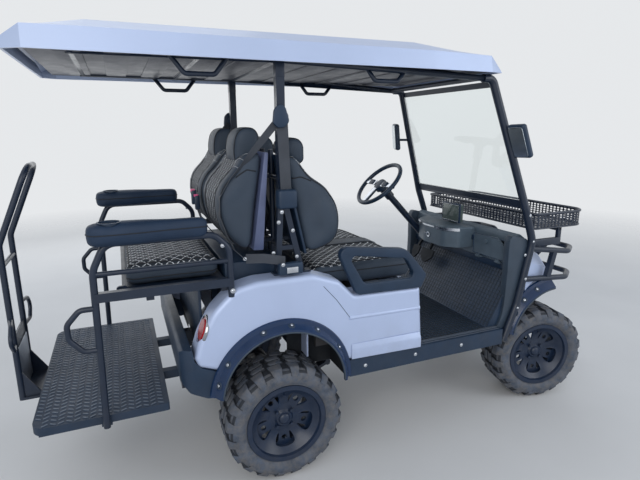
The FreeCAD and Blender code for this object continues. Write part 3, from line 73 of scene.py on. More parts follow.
def make_camera():
    ahead = Vector((math.sin(CAMERA_YAW) * math.cos(CAMERA_PITCH),
                    math.cos(CAMERA_YAW) * math.cos(CAMERA_PITCH), -math.sin(CAMERA_PITCH)))
    level = Vector((math.cos(CAMERA_YAW), -math.sin(CAMERA_YAW), 0))
    upright = level.cross(ahead)
    right = level * math.cos(CAMERA_ROLL) + upright * math.sin(CAMERA_ROLL)
    top = upright * math.cos(CAMERA_ROLL) - level * math.sin(CAMERA_ROLL)
    data = bpy.data.cameras.new("photo_camera")
    data.lens = CAMERA_LENS
    data.sensor_width = SENSOR_WIDTH
    data.clip_end = FARTHEST_SEEN
    camera = bpy.data.objects.new("photo_camera", data)
    axes = Matrix((right, top, -ahead)).transposed()
    camera.matrix_world = Matrix.Translation(CAMERA_PLACE) @ axes.to_4x4()
    bpy.context.scene.collection.objects.link(camera)
    bpy.context.scene.camera = camera


make_camera()


# Shader groups

def new_group(name, inputs, outputs):
    """An empty node group with its sockets: (name, kind, default) in and (name, kind) out."""
    group = bpy.data.node_groups.new(name, "ShaderNodeTree")
    for label, kind, value in inputs:
        socket = group.interface.new_socket(label, in_out="INPUT", socket_type=kind)
        socket.default_value = value
    for label, kind in outputs:
        group.interface.new_socket(label, in_out="OUTPUT", socket_type=kind)
    return group, group.nodes.new("NodeGroupInput"), group.nodes.new("NodeGroupOutput")


def texture(tree, kind, vector, scale, **values):
    """A noise or Voronoi texture on a vector; scale is a number or a socket."""
    node = tree.nodes.new(kind)
    tree.links.new(vector, node.inputs["Vector"])
    if isinstance(scale, (int, float)):
        node.inputs["Scale"].default_value = scale
    else:
        tree.links.new(scale, node.inputs["Scale"])
    for label, value in values.items():
        if label == "feature":
            node.feature = value
        else:
            node.inputs[label.replace("_", " ").title()].default_value = value
    return node


def ramp(tree, value, low, high, out_low=0.0, out_high=1.0):
    """Spread a value from one range over another and keep it inside."""
    node = tree.nodes.new("ShaderNodeMapRange")
    tree.links.new(value, node.inputs["Value"])
    for label, number in (("From Min", low), ("From Max", high), ("To Min", out_low), ("To Max", out_high)):
        if isinstance(number, (int, float)):
            node.inputs[label].default_value = number
        else:
            tree.links.new(number, node.inputs[label])
    return node.outputs["Result"]


def calculate(tree, operation, first, second):
    node = tree.nodes.new("ShaderNodeMath")
    node.operation = operation
    for socket, value in zip(node.inputs, (first, second)):
        if isinstance(value, (int, float)):
            socket.default_value = value
        else:
            tree.links.new(value, socket)
    return node.outputs[0]


def mixed(tree, factor, first, second):
    """Mix two colours by a factor; each is a colour or a socket."""
    node = tree.nodes.new("ShaderNodeMix")
    node.data_type = "RGBA"
    sockets = (node.inputs["Factor"], node.inputs[6], node.inputs[7])
    for socket, value in zip(sockets, (factor, first, second)):
        if hasattr(value, "is_output"):
            tree.links.new(value, socket)
        elif isinstance(value, (int, float)):
            socket.default_value = value
        else:
            socket.default_value = (*value, 1)
    return node.outputs[2]


VECTOR_IN = ("Vector", "NodeSocketVector", (0, 0, 0))


def make_grain_group():
    """Fine pebbled grain of moulded plastic or vinyl, as a height."""
    group, start, end = new_group("Moulded Grain", [
        VECTOR_IN, ("Scale", "NodeSocketFloat", 600),
    ], [("Height", "NodeSocketFloat")])
    vector = start.outputs["Vector"]
    pebbles = texture(group, "ShaderNodeTexVoronoi", vector, start.outputs["Scale"], feature="SMOOTH_F1")
    fine_scale = calculate(group, "MULTIPLY", start.outputs["Scale"], 1.7)
    fine = texture(group, "ShaderNodeTexNoise", vector, fine_scale, detail=2)
    height = calculate(group, "ADD", pebbles.outputs["Distance"], fine.outputs["Fac"])
    group.links.new(height, end.inputs["Height"])
    return group


def make_dust_group():
    """Road dust: a mask that fades with height above the ground, broken up by noise."""
    group, start, end = new_group("Road Dust", [
        VECTOR_IN, ("Amount", "NodeSocketFloat", 0.5),
        ("Top", "NodeSocketFloat", 0.7), ("Bottom", "NodeSocketFloat", 0.1),
    ], [("Mask", "NodeSocketFloat")])
    parts = group.nodes.new("ShaderNodeSeparateXYZ")
    group.links.new(start.outputs["Vector"], parts.inputs[0])
    rise = ramp(group, parts.outputs["Z"], start.outputs["Top"], start.outputs["Bottom"])
    spots = texture(group, "ShaderNodeTexNoise", start.outputs["Vector"], 14, detail=6, roughness=0.65)
    broken = ramp(group, spots.outputs["Fac"], 0.35, 0.7)
    mask = calculate(group, "MULTIPLY", calculate(group, "MULTIPLY", rise, broken), start.outputs["Amount"])
    group.links.new(mask, end.inputs["Mask"])
    return group


def make_scuff_group():
    """Faint rubs and smears: a roughness that wanders between two values."""
    group, start, end = new_group("Scuffs", [
        VECTOR_IN, ("Low", "NodeSocketFloat", 0.3), ("High", "NodeSocketFloat", 0.5),
    ], [("Roughness", "NodeSocketFloat")])
    smears = texture(group, "ShaderNodeTexNoise", start.outputs["Vector"], 9, detail=5,
                     roughness=0.7, distortion=0.6)
    rubbed = ramp(group, smears.outputs["Fac"], 0.3, 0.7, start.outputs["Low"], start.outputs["High"])
    group.links.new(rubbed, end.inputs["Roughness"])
    return group


# Width and length of one quilted diamond, and how deep its seams lie, in metres.
QUILT_WIDE = 0.044
QUILT_LONG = 0.046
QUILT_DEPTH = 0.005


def make_quilt_group():
    """Stitches along the seams of the diamonds, on a UV map in metres."""
    group, start, end = new_group("Quilt Stitches", [
        VECTOR_IN, ("Width", "NodeSocketFloat", 0.21), ("Dash", "NodeSocketFloat", 90.0),
    ], [("Thread", "NodeSocketFloat")])
    parts = group.nodes.new("ShaderNodeSeparateXYZ")
    group.links.new(start.outputs["Vector"], parts.inputs[0])
    across = calculate(group, "DIVIDE", parts.outputs["X"], QUILT_WIDE)
    along = calculate(group, "DIVIDE", parts.outputs["Y"], QUILT_LONG)
    seams = []
    for sign in ("ADD", "SUBTRACT"):
        turn = calculate(group, "MULTIPLY", calculate(group, sign, across, along), math.pi)
        wave = calculate(group, "ABSOLUTE", calculate(group, "SINE", turn, 0), 0)
        seams.append(calculate(group, "LESS_THAN", wave, start.outputs["Width"]))
    line = calculate(group, "MAXIMUM", *seams)
    steps = calculate(group, "MULTIPLY", parts.outputs["Y"], start.outputs["Dash"])
    dash = calculate(group, "FRACT", steps, 0)
    broken = calculate(group, "MULTIPLY", line, calculate(group, "LESS_THAN", dash, 0.8))
    group.links.new(broken, end.inputs["Thread"])
    return group


GRAIN = make_grain_group()
QUILT = make_quilt_group()
DUST = make_dust_group()
SCUFFS = make_scuff_group()

DUST_COLOUR = (0.20, 0.175, 0.145)
FLAKE_COLOUR = (0.80, 0.84, 0.95)


class Finish:
    """A material in the making: its tree, its shader and the object's coordinates."""

    def __init__(self, name, colour, roughness, metallic=0.0):
        self.material = bpy.data.materials.new(name)
        self.material.use_nodes = True
        self.tree = self.material.node_tree
        self.shader = self.tree.nodes["Principled BSDF"]
        self.shader.inputs["Base Color"].default_value = (*colour, 1)
        self.shader.inputs["Roughness"].default_value = roughness
        self.shader.inputs["Metallic"].default_value = metallic
        self.place = self.tree.nodes.new("ShaderNodeTexCoord").outputs["Object"]
        self.colour = colour
        self.bumps = None

    def set(self, **values):
        for label, value in values.items():
            self.shader.inputs[label.replace("_", " ")].default_value = value
        return self

    def group(self, group, **values):
        node = self.tree.nodes.new("ShaderNodeGroup")
        node.node_tree = group
        self.tree.links.new(self.place, node.inputs["Vector"])
        for label, value in values.items():
            node.inputs[label].default_value = value
        return node

    def bump(self, height, distance):
        node = self.tree.nodes.new("ShaderNodeBump")
        node.inputs["Distance"].default_value = distance
        self.tree.links.new(height, node.inputs["Height"])
        if self.bumps:
            self.tree.links.new(self.bumps, node.inputs["Normal"])
        self.bumps = node.outputs["Normal"]
        self.tree.links.new(self.bumps, self.shader.inputs["Normal"])
        return self

    def grained(self, scale, distance):
        return self.bump(self.group(GRAIN, Scale=scale).outputs["Height"], distance)

    def scuffed(self, low, high):
        node = self.group(SCUFFS, Low=low, High=high)
        self.tree.links.new(node.outputs["Roughness"], self.shader.inputs["Roughness"])
        return self

    def tint(self, socket):
        self.tree.links.new(socket, self.shader.inputs["Base Color"])
        self.colour = socket
        return self

    def mottled(self, other, scale):
        """Blend slowly towards another colour."""
        spots = texture(self.tree, "ShaderNodeTexNoise", self.place, scale, detail=4)
        mask = ramp(self.tree, spots.outputs["Fac"], 0.35, 0.65)
        return self.tint(mixed(self.tree, mask, self.colour, other))

    def dusty(self, amount, top, bottom):
        """Road dust that thins out between two heights in metres."""
        mask = self.group(DUST, Amount=amount, Top=top, Bottom=bottom).outputs["Mask"]
        return self.tint(mixed(self.tree, mask, self.colour, DUST_COLOUR))


def shaded(colour, share):
    """A colour made darker or lighter by a share."""
    return tuple(channel * share for channel in colour)


def paint(name, colour):
    """Metallic silver paint: flakes under a soft coat, dull with dust near the ground."""
    finish = Finish(name, colour, 0.46, 0.22)
    finish.mottled(shaded(colour, 0.93), 3)
    flakes = texture(finish.tree, "ShaderNodeTexVoronoi", finish.place, 1400)
    sparkle = ramp(finish.tree, flakes.outputs["Distance"], 0.2, 0.9, 0.0, 0.12)
    finish.tint(mixed(finish.tree, sparkle, finish.colour, FLAKE_COLOUR))
    finish.dusty(0.2, 0.72, 0.45)
    finish.set(Coat_Weight=0.3, Coat_Roughness=0.3, Coat_IOR=1.45)
    return finish.material


def moulded_black(name, colour, low, high, grain=0.00012, scale=900):
    """Moulded plastic with a fine grain; low and high are its least and greatest roughness."""
    finish = Finish(name, colour, (low + high) / 2)
    finish.mottled(shaded(colour, 1.2), 11)
    finish.dusty(0.08, 0.9, 0.2)
    finish.scuffed(low, high)
    finish.grained(scale, grain)
    finish.set(Specular_IOR_Level=0.4)
    return finish.material


def powder_coat(name, colour):
    """Satin black powder coat over steel."""
    finish = Finish(name, colour, 0.4)
    finish.mottled(shaded(colour, 1.2), 17)
    finish.dusty(0.10, 0.8, 0.2)
    finish.scuffed(0.28, 0.46)
    finish.grained(1500, 0.00006)
    finish.set(Coat_Weight=0.12, Coat_Roughness=0.25, Specular_IOR_Level=0.4)
    return finish.material


def vinyl_finish(name, colour):
    """Seat vinyl: a soft leather grain with a low sheen."""
    finish = Finish(name, colour, 0.42)
    finish.mottled(shaded(colour, 1.15), 7)
    creases = texture(finish.tree, "ShaderNodeTexVoronoi", finish.place, 420, feature="DISTANCE_TO_EDGE")
    height = ramp(finish.tree, creases.outputs["Distance"], 0.0, 0.25)
    finish.scuffed(0.5, 0.64)
    finish.bump(height, 0.00018)
    finish.grained(1300, 0.00005)
    return finish.set(Sheen_Weight=0.03, Sheen_Roughness=0.4, Specular_IOR_Level=0.36)


def vinyl(name, colour):
    return vinyl_finish(name, colour).material


def quilted_vinyl(name, colour, thread):
    """Vinyl sewn into diamonds with pale thread along the seams."""
    finish = vinyl_finish(name, colour)
    map_node = finish.tree.nodes.new("ShaderNodeUVMap")
    map_node.uv_map = "quilting"
    seams = finish.group(QUILT)
    finish.tree.links.new(map_node.outputs["UV"], seams.inputs["Vector"])
    finish.tint(mixed(finish.tree, seams.outputs["Thread"], finish.colour, thread))
    return finish.material


def plain_thread(name, colour):
    finish = Finish(name, colour, 0.6)
    finish.mottled(shaded(colour, 0.8), 60)
    finish.set(Sheen_Weight=0.3)
    return finish.material


def rubber(name, colour, dust):
    """Mottled rubber with patches of dust."""
    finish = Finish(name, colour, 0.75)
    finish.mottled(shaded(colour, 1.6), 21)
    spots = texture(finish.tree, "ShaderNodeTexNoise", finish.place, 26, detail=8, roughness=0.7)
    mask = ramp(finish.tree, spots.outputs["Fac"], 0.38, 0.72, 0.0, dust)
    finish.tint(mixed(finish.tree, mask, finish.colour, DUST_COLOUR))
    finish.scuffed(0.6, 0.85)
    finish.grained(700, 0.0003)
    return finish.material


def plain_metal(name, colour, roughness, low=None, high=None):
    finish = Finish(name, colour, roughness, 1.0)
    if low is not None:
        finish.scuffed(low, high)
    finish.mottled(shaded(colour, 0.85), 25)
    return finish.material


def clear_glass(name, colour):
    finish = Finish(name, colour, 0.02)
    finish.set(Transmission_Weight=1.0, IOR=1.45)
    return finish.material


def lens(name, colour):
    """A coloured moulded lens under a gloss."""
    finish = Finish(name, colour, 0.12)
    cells = texture(finish.tree, "ShaderNodeTexVoronoi", finish.place, 260)
    facets = ramp(finish.tree, cells.outputs["Distance"], 0.1, 0.8, 0.0, 0.5)
    finish.tint(mixed(finish.tree, facets, colour, shaded(colour, 0.5)))
    finish.set(Coat_Weight=0.4, Coat_Roughness=0.06)
    return finish.material


# Each finish of the cart, with its colour in linear red, green and blue.
# The blue tint of the blacks, greys and vinyls is painted skylight, the sky's blue cast matched into each colour;
# the silvers' blue is partly their own tint and partly painted sky reflection.
MATERIALS = {
    "tyre": rubber("tyre_rubber", (0.048, 0.061, 0.086), 0.55),
    # The grooves' darker rubber is painted shade in the tread's recesses.
    "painted_groove_shade": rubber("painted_groove_shade_rubber", (0.012, 0.016, 0.024), 0.08),
    "rim_black": powder_coat("rim_black", (0.005, 0.016, 0.042)),
    "axle_iron": powder_coat("axle_iron", (0.010, 0.012, 0.016)),
    "frame_black": powder_coat("frame_black", (0.008, 0.016, 0.034)),
    "body_silver": paint("body_silver", (0.46, 0.55, 0.77)),
    "roof_silver": paint("roof_silver", (0.44, 0.53, 0.74)),
    "trim_black": moulded_black("trim_black", (0.011, 0.027, 0.056), 0.38, 0.52),
    "flare_black": moulded_black("flare_black", (0.006, 0.024, 0.072), 0.16, 0.28, 0.00004),
    "seat_vinyl": vinyl("seat_vinyl", (0.032, 0.047, 0.070)),
    "quilt_vinyl": quilted_vinyl("quilt_vinyl", (0.016, 0.022, 0.032), (0.80, 0.83, 0.86)),
    "piping_vinyl": vinyl("piping_vinyl", (0.010, 0.012, 0.017)),
    # The rear shells' blue is a painted reflection of the sky on a dark satin panel.
    "shell_painted_sky_reflection": powder_coat("shell_painted_sky_reflection", (0.085, 0.105, 0.19)),
    "thread": plain_thread("thread", (0.52, 0.54, 0.56)),
    "glass": clear_glass("windscreen_glass", (0.93, 0.97, 0.96)),
    "lamp_red": lens("lamp_red", (0.50, 0.002, 0.010)),
    "lamp_clear": lens("lamp_clear", (0.6, 0.63, 0.68)),
    "screen": moulded_black("screen_glass", (0.075, 0.10, 0.095), 0.10, 0.16, 0.0),
    "mat_rubber": moulded_black("mat_rubber", (0.010, 0.017, 0.026), 0.6, 0.75),
    "worn_black": moulded_black("worn_black", (0.06, 0.075, 0.10), 0.5, 0.65),
    "rubbed_black": moulded_black("rubbed_black", (0.085, 0.11, 0.15), 0.32, 0.5),
    "dash_grey": moulded_black("dash_grey", (0.075, 0.105, 0.135), 0.42, 0.55),
    "liner_grey": moulded_black("liner_grey", (0.075, 0.078, 0.095), 0.35, 0.5),
    # Black of the pedals, and painted shade where the rear wheel arches lie open.
    "black_and_painted_shade": moulded_black("black_and_painted_shade", (0.006, 0.009, 0.014), 0.7, 0.85),
    "post_grey": moulded_black("post_grey", (0.030, 0.046, 0.068), 0.4, 0.52),
    "pad_vinyl": vinyl("pad_vinyl", (0.009, 0.024, 0.054)),
    "webbing": moulded_black("webbing", (0.040, 0.046, 0.058), 0.6, 0.72, 0.0004, 420),
    "belt_pink": moulded_black("belt_pink", (0.72, 0.10, 0.26), 0.35, 0.45),
    "bright_metal": plain_metal("bright_metal", (0.60, 0.63, 0.68), 0.22, 0.16, 0.3),
    "dark_chrome": plain_metal("dark_chrome", (0.36, 0.38, 0.42), 0.14, 0.1, 0.2),
    "brushed_metal": plain_metal("brushed_metal", (0.42, 0.46, 0.52), 0.45, 0.38, 0.55),
    "mirror_silver": plain_metal("mirror_silver", (0.62, 0.68, 0.72), 0.22),
    "battery_grey": moulded_black("battery_grey", (0.06, 0.06, 0.065), 0.5, 0.65),
    "plate_black": moulded_black("plate_black", (0.012, 0.026, 0.052), 0.5, 0.66),
}

# Nodes whose finish differs from their slot's.
OTHER_FINISH = {"dashboard": "dash_grey", "glovebox_lid": "dash_grey", "pedals": "black_and_painted_shade"}

for subpart in frame["record"]["subparts"]:
    node = frame["nodes"][subpart["node"]]
    node.data.materials.clear()
    node.data.materials.append(MATERIALS[OTHER_FINISH.get(subpart["node"], subpart["material_slot"])])


# Pieces

def facing_out(mesh):
    """Turn every face outwards."""
    bmesh.ops.recalc_face_normals(mesh, faces=mesh.faces[:])
    return mesh


def moved(mesh, matrix):
    """Carry a mesh through a matrix."""
    bmesh.ops.transform(mesh, matrix=matrix, verts=mesh.verts[:])
    return mesh


def closed_pairs(ring):
    """Each point of a closed ring with the next one."""
    return zip(ring, ring[1:] + ring[:1])


def centre_of(points):
    return sum(points, Vector()) / len(points)


def outlined(points, corners):
    """A face through points, each corner rounded over its own length in millimetres."""
    mesh = bmesh.new()
    verts = [mesh.verts.new(point) for point in points]
    mesh.faces.new(verts)
    for vert, size in zip(verts, corners):
        if size:
            bmesh.ops.bevel(mesh, geom=[vert], offset=size / 1000, affect="VERTICES",
                            segments=6, profile=0.5, material=-1)
    return mesh


def thickened(mesh, direction):
    """Push a flat face out into a prism."""
    pushed = bmesh.ops.extrude_face_region(mesh, geom=mesh.faces[:])
    ends = [item for item in pushed["geom"] if isinstance(item, bmesh.types.BMVert)]
    bmesh.ops.translate(mesh, verts=ends, vec=direction)
    return mesh


def eased(mesh, size, angle=30.0, segments=2):
    """Round every edge sharper than an angle; size in millimetres."""
    facing_out(mesh)
    sharp = [edge for edge in mesh.edges
             if len(edge.link_faces) == 2 and edge.calc_face_angle(0) > math.radians(angle)]
    bmesh.ops.bevel(mesh, geom=sharp, offset=size / 1000, affect="EDGES", segments=segments,
                    profile=0.5, material=-1, clamp_overlap=True)
    return mesh


def smoothed(mesh, verts):
    """Draw each vertex halfway to its neighbours."""
    bmesh.ops.smooth_vert(mesh, verts=verts, factor=0.5, use_axis_x=True, use_axis_y=True,
                          use_axis_z=True)


def merged(*meshes):
    """One bmesh from several."""
    whole = meshes[0]
    for extra in meshes[1:]:
        data = bpy.data.meshes.new("extra")
        extra.to_mesh(data)
        extra.free()
        whole.from_mesh(data)
        bpy.data.meshes.remove(data)
    return whole


def turned(profile, steps=64):
    """A closed (radius, along Y) profile in millimetres, spun about the Y axis."""
    mesh = bmesh.new()
    verts = [mesh.verts.new((0, along / 1000, radius / 1000)) for radius, along in profile]
    edges = [mesh.edges.new(pair) for pair in closed_pairs(verts)]
    bmesh.ops.spin(mesh, geom=verts + edges, cent=(0, 0, 0), axis=(0, 1, 0), angle=2 * math.pi,
                   steps=steps, use_merge=True)
    bmesh.ops.remove_doubles(mesh, verts=mesh.verts[:], dist=1e-6)
    facing_out(mesh)
    return mesh


def round_bar(points, thickness, closed=False, sides=10):
    """A bar of round section through points; thickness in millimetres."""
    curve = bpy.data.curves.new("bar", "CURVE")
    curve.dimensions = "3D"
    curve.bevel_depth = thickness / 2000
    curve.bevel_resolution = max(1, sides // 4)
    curve.use_fill_caps = True
    spline = curve.splines.new("POLY")
    spline.points.add(len(points) - 1)
    for slot, point in zip(spline.points, points):
        slot.co = (*point, 1)
    spline.use_cyclic_u = closed
    carrier = bpy.data.objects.new("bar", curve)
    data = bpy.data.meshes.new_from_object(carrier)
    mesh = bmesh.new()
    mesh.from_mesh(data)
    bpy.data.objects.remove(carrier)
    bpy.data.curves.remove(curve)
    bpy.data.meshes.remove(data)
    bmesh.ops.remove_doubles(mesh, verts=mesh.verts[:], dist=1e-6)
    return mesh


def finished(name, mesh, material, body, *replaced, slot=None, smooth=35.0, extra=()):
    """Make a bmesh a piece of the cart: smooth it, give it its materials and let it ride."""
    data = bpy.data.meshes.new(name)
    mesh.to_mesh(data)
    mesh.free()
    data.shade_smooth()
    data.set_sharp_from_angle(angle=math.radians(smooth))
    piece = bpy.data.objects.new(name, data)
    bpy.context.scene.collection.objects.link(piece)
    data.materials.append(MATERIALS[material])
    for other in extra:
        data.materials.append(MATERIALS[other])
    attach(piece, body)
    if replaced:
        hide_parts(*replaced)
    return piece


def bolt(centre, normal, size, height):
    """A domed bolt head on its washer; size is its radius in millimetres."""
    mesh = bmesh.new()
    bmesh.ops.create_uvsphere(mesh, u_segments=12, v_segments=6, radius=size / 1000)
    bmesh.ops.scale(mesh, vec=(1, 1, height / size), verts=mesh.verts[:])
    washer = bmesh.new()
    bmesh.ops.create_cone(washer, cap_ends=True, segments=16, radius1=size * 1.45 / 1000,
                          radius2=size * 1.35 / 1000, depth=0.002)
    turn = Vector(normal).to_track_quat("Z", "Y").to_matrix().to_4x4()
    return moved(merged(mesh, washer), Matrix.Translation(centre) @ turn)


# Wheels

WHEELS = ("rear_left", "rear_right", "front_left", "front_right")
# Lugs in each row of the tread, and the radii of their tops and of their sunk feet in millimetres.
LUG_COUNT = 20
LUG_TOP = 279.2
LUG_FOOT = 262


def lug(outline, top, foot):
    """A tread block: an outline (along the tread, across it) raised from foot to top radius."""
    mesh = outlined([(along / 1000, across / 1000, foot / 1000) for along, across in outline],
                    [0] * len(outline))
    thickened(mesh, Vector((0, 0, (top - foot) / 1000)))
    upper = [vert for vert in mesh.verts if vert.co.z > (top - 1) / 1000]
    middle = centre_of([vert.co for vert in upper])
    bmesh.ops.scale(mesh, vec=(0.9, 0.94, 1), space=Matrix.Translation(-middle), verts=upper)
    return mesh


def shoulder_lug(long):
    """A shoulder lug that folds over onto the sidewall, every second one a longer way."""
    end = (222 if long else 240) / 1000
    top, foot = LUG_TOP / 1000, LUG_FOOT / 1000
    points = [(0, 0.0465, foot), (0, 0.0465, top), (0, 0.094, top), (0, 0.1135, 0.2585),
              (0, 0.1225, end + 0.006), (0, 0.1195, end), (0, 0.104, 0.25)]
    mesh = outlined(points, [0] * len(points))
    width = 0.054 if long else 0.046
    bmesh.ops.translate(mesh, verts=mesh.verts[:], vec=(-width / 2, 0, 0))
    thickened(mesh, Vector((width, 0, 0)))
    for vert in mesh.verts:
        if vert.co.y < 0.06:
            vert.co.x += 0.008 if vert.co.x > 0 else -0.004
        if vert.co.y > 0.11:
            vert.co.x *= 0.72
    return eased(mesh, 2.2, segments=1)


def repeated(mesh, count, first=0.0):
    """Copies of a block spread evenly around the wheel."""
    bmesh.ops.rotate(mesh, cent=(0, 0, 0), matrix=Matrix.Rotation(math.radians(first), 3, "Y"),
                     verts=mesh.verts[:])
    bmesh.ops.spin(mesh, geom=mesh.verts[:] + mesh.edges[:] + mesh.faces[:], cent=(0, 0, 0),
                   axis=(0, 1, 0), angle=2 * math.pi * (count - 1) / count, steps=count - 1,
                   use_duplicate=True)
    return mesh


def in_groove(spot):
    """Whether a place on the tyre lies between its lugs."""
    radius = math.hypot(spot.x, spot.z)
    lug_side = 0.2735 if abs(spot.y) < 0.09 else 0.2655
    return 0.25 < radius < lug_side and abs(spot.y) < 0.112


# The tyre's carcass as (radius, along the axle), and an inner lug's plan as (along the tread, across it).
CARCASS = [
    (178, -99), (194, -101), (202, -112), (222, -120), (240, -119.5), (256, -111), (265, -98), (269, -84),
    (269, 0), (269, 84), (265, 98), (256, 111), (240, 119.5), (222, 120), (202, 112), (197, 106), (194, 106),
    (192, 101), (178, 99),
]
CHEVRON = [(-36, 4), (-26, 22), (-36, 40), (30, 40), (40, 22), (30, 4)]


def tyre_mesh():
    """Carcass, four rows of lugs with painted shade on the grooves between them, and ribs on the outer sidewall.
    """
    parts = [turned(CARCASS, steps=80)]
    gap = 360 / LUG_COUNT
    for side, first in ((1, gap / 2), (-1, 0)):
        for long in (True, False):
            shoulder = shoulder_lug(long)
            if side < 0:
                bmesh.ops.scale(shoulder, vec=(1, -1, 1), verts=shoulder.verts[:])
                facing_out(shoulder)
            parts.append(repeated(shoulder, LUG_COUNT // 2, first + (0 if long else gap)))
        plan = CHEVRON if side > 0 else [(along, -across) for along, across in reversed(CHEVRON)]
        inner = eased(lug(plan, LUG_TOP, LUG_FOOT), 1.6, segments=1)
        parts.append(repeated(inner, LUG_COUNT, first + 6 + (gap / 2 if side > 0 else 0)))
    rib = eased(lug([(-3, -1.5), (3, -1.5), (3, 1.5), (-3, 1.5)], 238, 226), 0.6, segments=1)
    bmesh.ops.translate(rib, verts=rib.verts[:], vec=(0, 0.1195, 0))
    parts.append(repeated(rib, 60))
    tyre = merged(*parts)
    # Faces between the lugs take a much darker rubber: painted shade in the tread's recesses.
    for face in tyre.faces:
        if in_groove(face.calc_center_median()):
            face.material_index = 1
    return tyre


def wheel_place(where):
    """Where a wheel stands: from its own joint, with its outer side facing out."""
    joint = JOINTS[f"{where}_spin"]
    axis = Vector(joint["axis"])
    turn = math.atan2(-axis.x, axis.y)
    if where.endswith("right"):
        turn += math.pi
    return Matrix.Translation(joint["pos_m"]) @ Matrix.Rotation(turn, 4, "Z")


def wheel_fittings():
    """Hub cap, four nuts in their pockets and the valve."""
    parts = [turned([(0, 44), (0, 74), (14, 73), (24, 68), (29, 60), (30, 44)], 32)]
    pocket = Matrix.Translation((0, 0.055, 0.05)) @ Matrix.Rotation(-math.pi / 2, 4, "X")
    for angle in (45, 135, 225, 315):
        nut = bmesh.new()
        bmesh.ops.create_cone(nut, cap_ends=True, segments=6, radius1=0.0105, radius2=0.0085, depth=0.02)
        parts.append(moved(nut, Matrix.Rotation(math.radians(angle), 4, "Y") @ pocket))
    parts.append(round_bar([(0, 0.045, 0.146), (0.004, 0.075, 0.134), (0.004, 0.084, 0.131)], 8))
    return merged(*parts)


def make_wheels():
    for where in WHEELS:
        for name, mesh, material, replaced, extra in (
                ("tread_", tyre_mesh(), "tyre", [f"tyre_{where}"], ["painted_groove_shade"]),
                ("hub_fittings_", wheel_fittings(), "rim_black", [], [])):
            moved(mesh, wheel_place(where))
            finished(name + where, mesh, material, f"wheel_{where}", *replaced, smooth=40, extra=extra)


make_wheels()


# Seats

# Pads waiting to be blown up, as (piece, farthest move in metres), and how firmly all of them are filled.
PADS = []
# Cloth pressure, the frames it works for, and the rounds of smoothing after it.
PRESSURE = 4.0
FRAMES = 20
SMOOTHINGS = 14


def applied(piece):
    """Apply every modifier of a piece."""
    graph = bpy.context.evaluated_depsgraph_get()
    data = bpy.data.meshes.new_from_object(piece.evaluated_get(graph))
    piece.modifiers.clear()
    old = piece.data
    materials = list(old.materials)
    piece.data = data
    if not data.materials:
        for material in materials:
            data.materials.append(material)
    bpy.data.meshes.remove(old)


def pad(name, mesh, body, replaced, cell, cap, material="seat_vinyl"):
    """A closed pad of even cells, waiting to be blown up by no more than its cap, both in metres."""
    piece = finished(name, mesh, material, body, *replaced, slot="seat_vinyl", smooth=180,
                     extra=["quilt_vinyl"])
    modifier = piece.modifiers.new("voxels", "REMESH")
    modifier.mode = "VOXEL"
    modifier.voxel_size = cell
    applied(piece)
    PADS.append((piece, cap))
    return piece


def drawn_firm(data):
    """Smooth out a pad's wrinkles, as its stretched cover does."""
    mesh = bmesh.new()
    mesh.from_mesh(data)
    for step in range(SMOOTHINGS):
        smoothed(mesh, mesh.verts[:])
    mesh.to_mesh(data)
    mesh.free()


def inflate_pads():
    """Blow all pads up as cloth, keep each point within its cap, then refine."""
    scene = bpy.context.scene
    starts = {}
    for piece, cap in PADS:
        starts[piece] = [vert.co.copy() for vert in piece.data.vertices]
        cloth = piece.modifiers.new("cloth", "CLOTH")
        cloth.settings.use_pressure = True
        cloth.settings.uniform_pressure_force = PRESSURE
        cloth.settings.effector_weights.gravity = 0
        cloth.settings.quality = 4
    for step in range(1, FRAMES + 1):
        scene.frame_set(step)
    graph = bpy.context.evaluated_depsgraph_get()
    swollen = {piece: [vert.co.copy() for vert in piece.evaluated_get(graph).data.vertices]
               for piece in starts}
    for piece, cap in PADS:
        piece.modifiers.clear()
        for vert, before, after in zip(piece.data.vertices, starts[piece], swollen[piece]):
            move = after - before
            if move.length > cap:
                move = move.normalized() * cap
            vert.co = before + move
    scene.frame_set(1)
    for piece, cap in PADS:
        drawn_firm(piece.data)
        modifier = piece.modifiers.new("subdivision", "SUBSURF")
        modifier.levels = 1
        modifier.render_levels = 1
        applied(piece)
        piece.data.shade_smooth()


def quilt_height(across, along):
    """How far the diamonds stand up at a place, from 0 in a seam to 1."""
    first = abs(math.sin(math.pi * (across / QUILT_WIDE + along / QUILT_LONG)))
    second = abs(math.sin(math.pi * (across / QUILT_WIDE - along / QUILT_LONG)))
    return math.sqrt(min(first, second))


def quilted(piece, chosen, along):
    """Press diamonds into the chosen part of a pad, and lay its UV map along them."""
    data = piece.data
    runs = {}
    for vert, normal in zip(data.vertices, [vert.normal.copy() for vert in data.vertices]):
        share = chosen(vert.co, normal)
        if share <= 0:
            continue
        runs[vert.index] = along(vert.co)
        sunk = QUILT_DEPTH * (1 - quilt_height(vert.co.y, runs[vert.index]))
        vert.co -= normal * sunk * share
    layer = data.uv_layers.new(name="quilting")
    for face in data.polygons:
        if not all(corner in runs for corner in face.vertices):
            continue
        face.material_index = 1
        for loop in face.loop_indices:
            corner = data.loops[loop].vertex_index
            layer.data[loop].uv = (data.vertices[corner].co.y, runs[corner])


def band(value, low, high, fade):
    """1 inside a range, falling to 0 over a fade outside it."""
    outside = max(low - value, value - high, 0.0)
    return max(0.0, 1 - outside / fade)


def on_surface(piece, point, lift=0.0):
    """The nearest place on a piece to a point, lifted along its normal."""
    hit, spot, normal, face = piece.closest_point_on_mesh(point)
    return spot + normal * lift


def dressed_line(piece, points, lift):
    """Points laid on a piece's surface."""
    return [on_surface(piece, Vector(point), lift) for point in points]


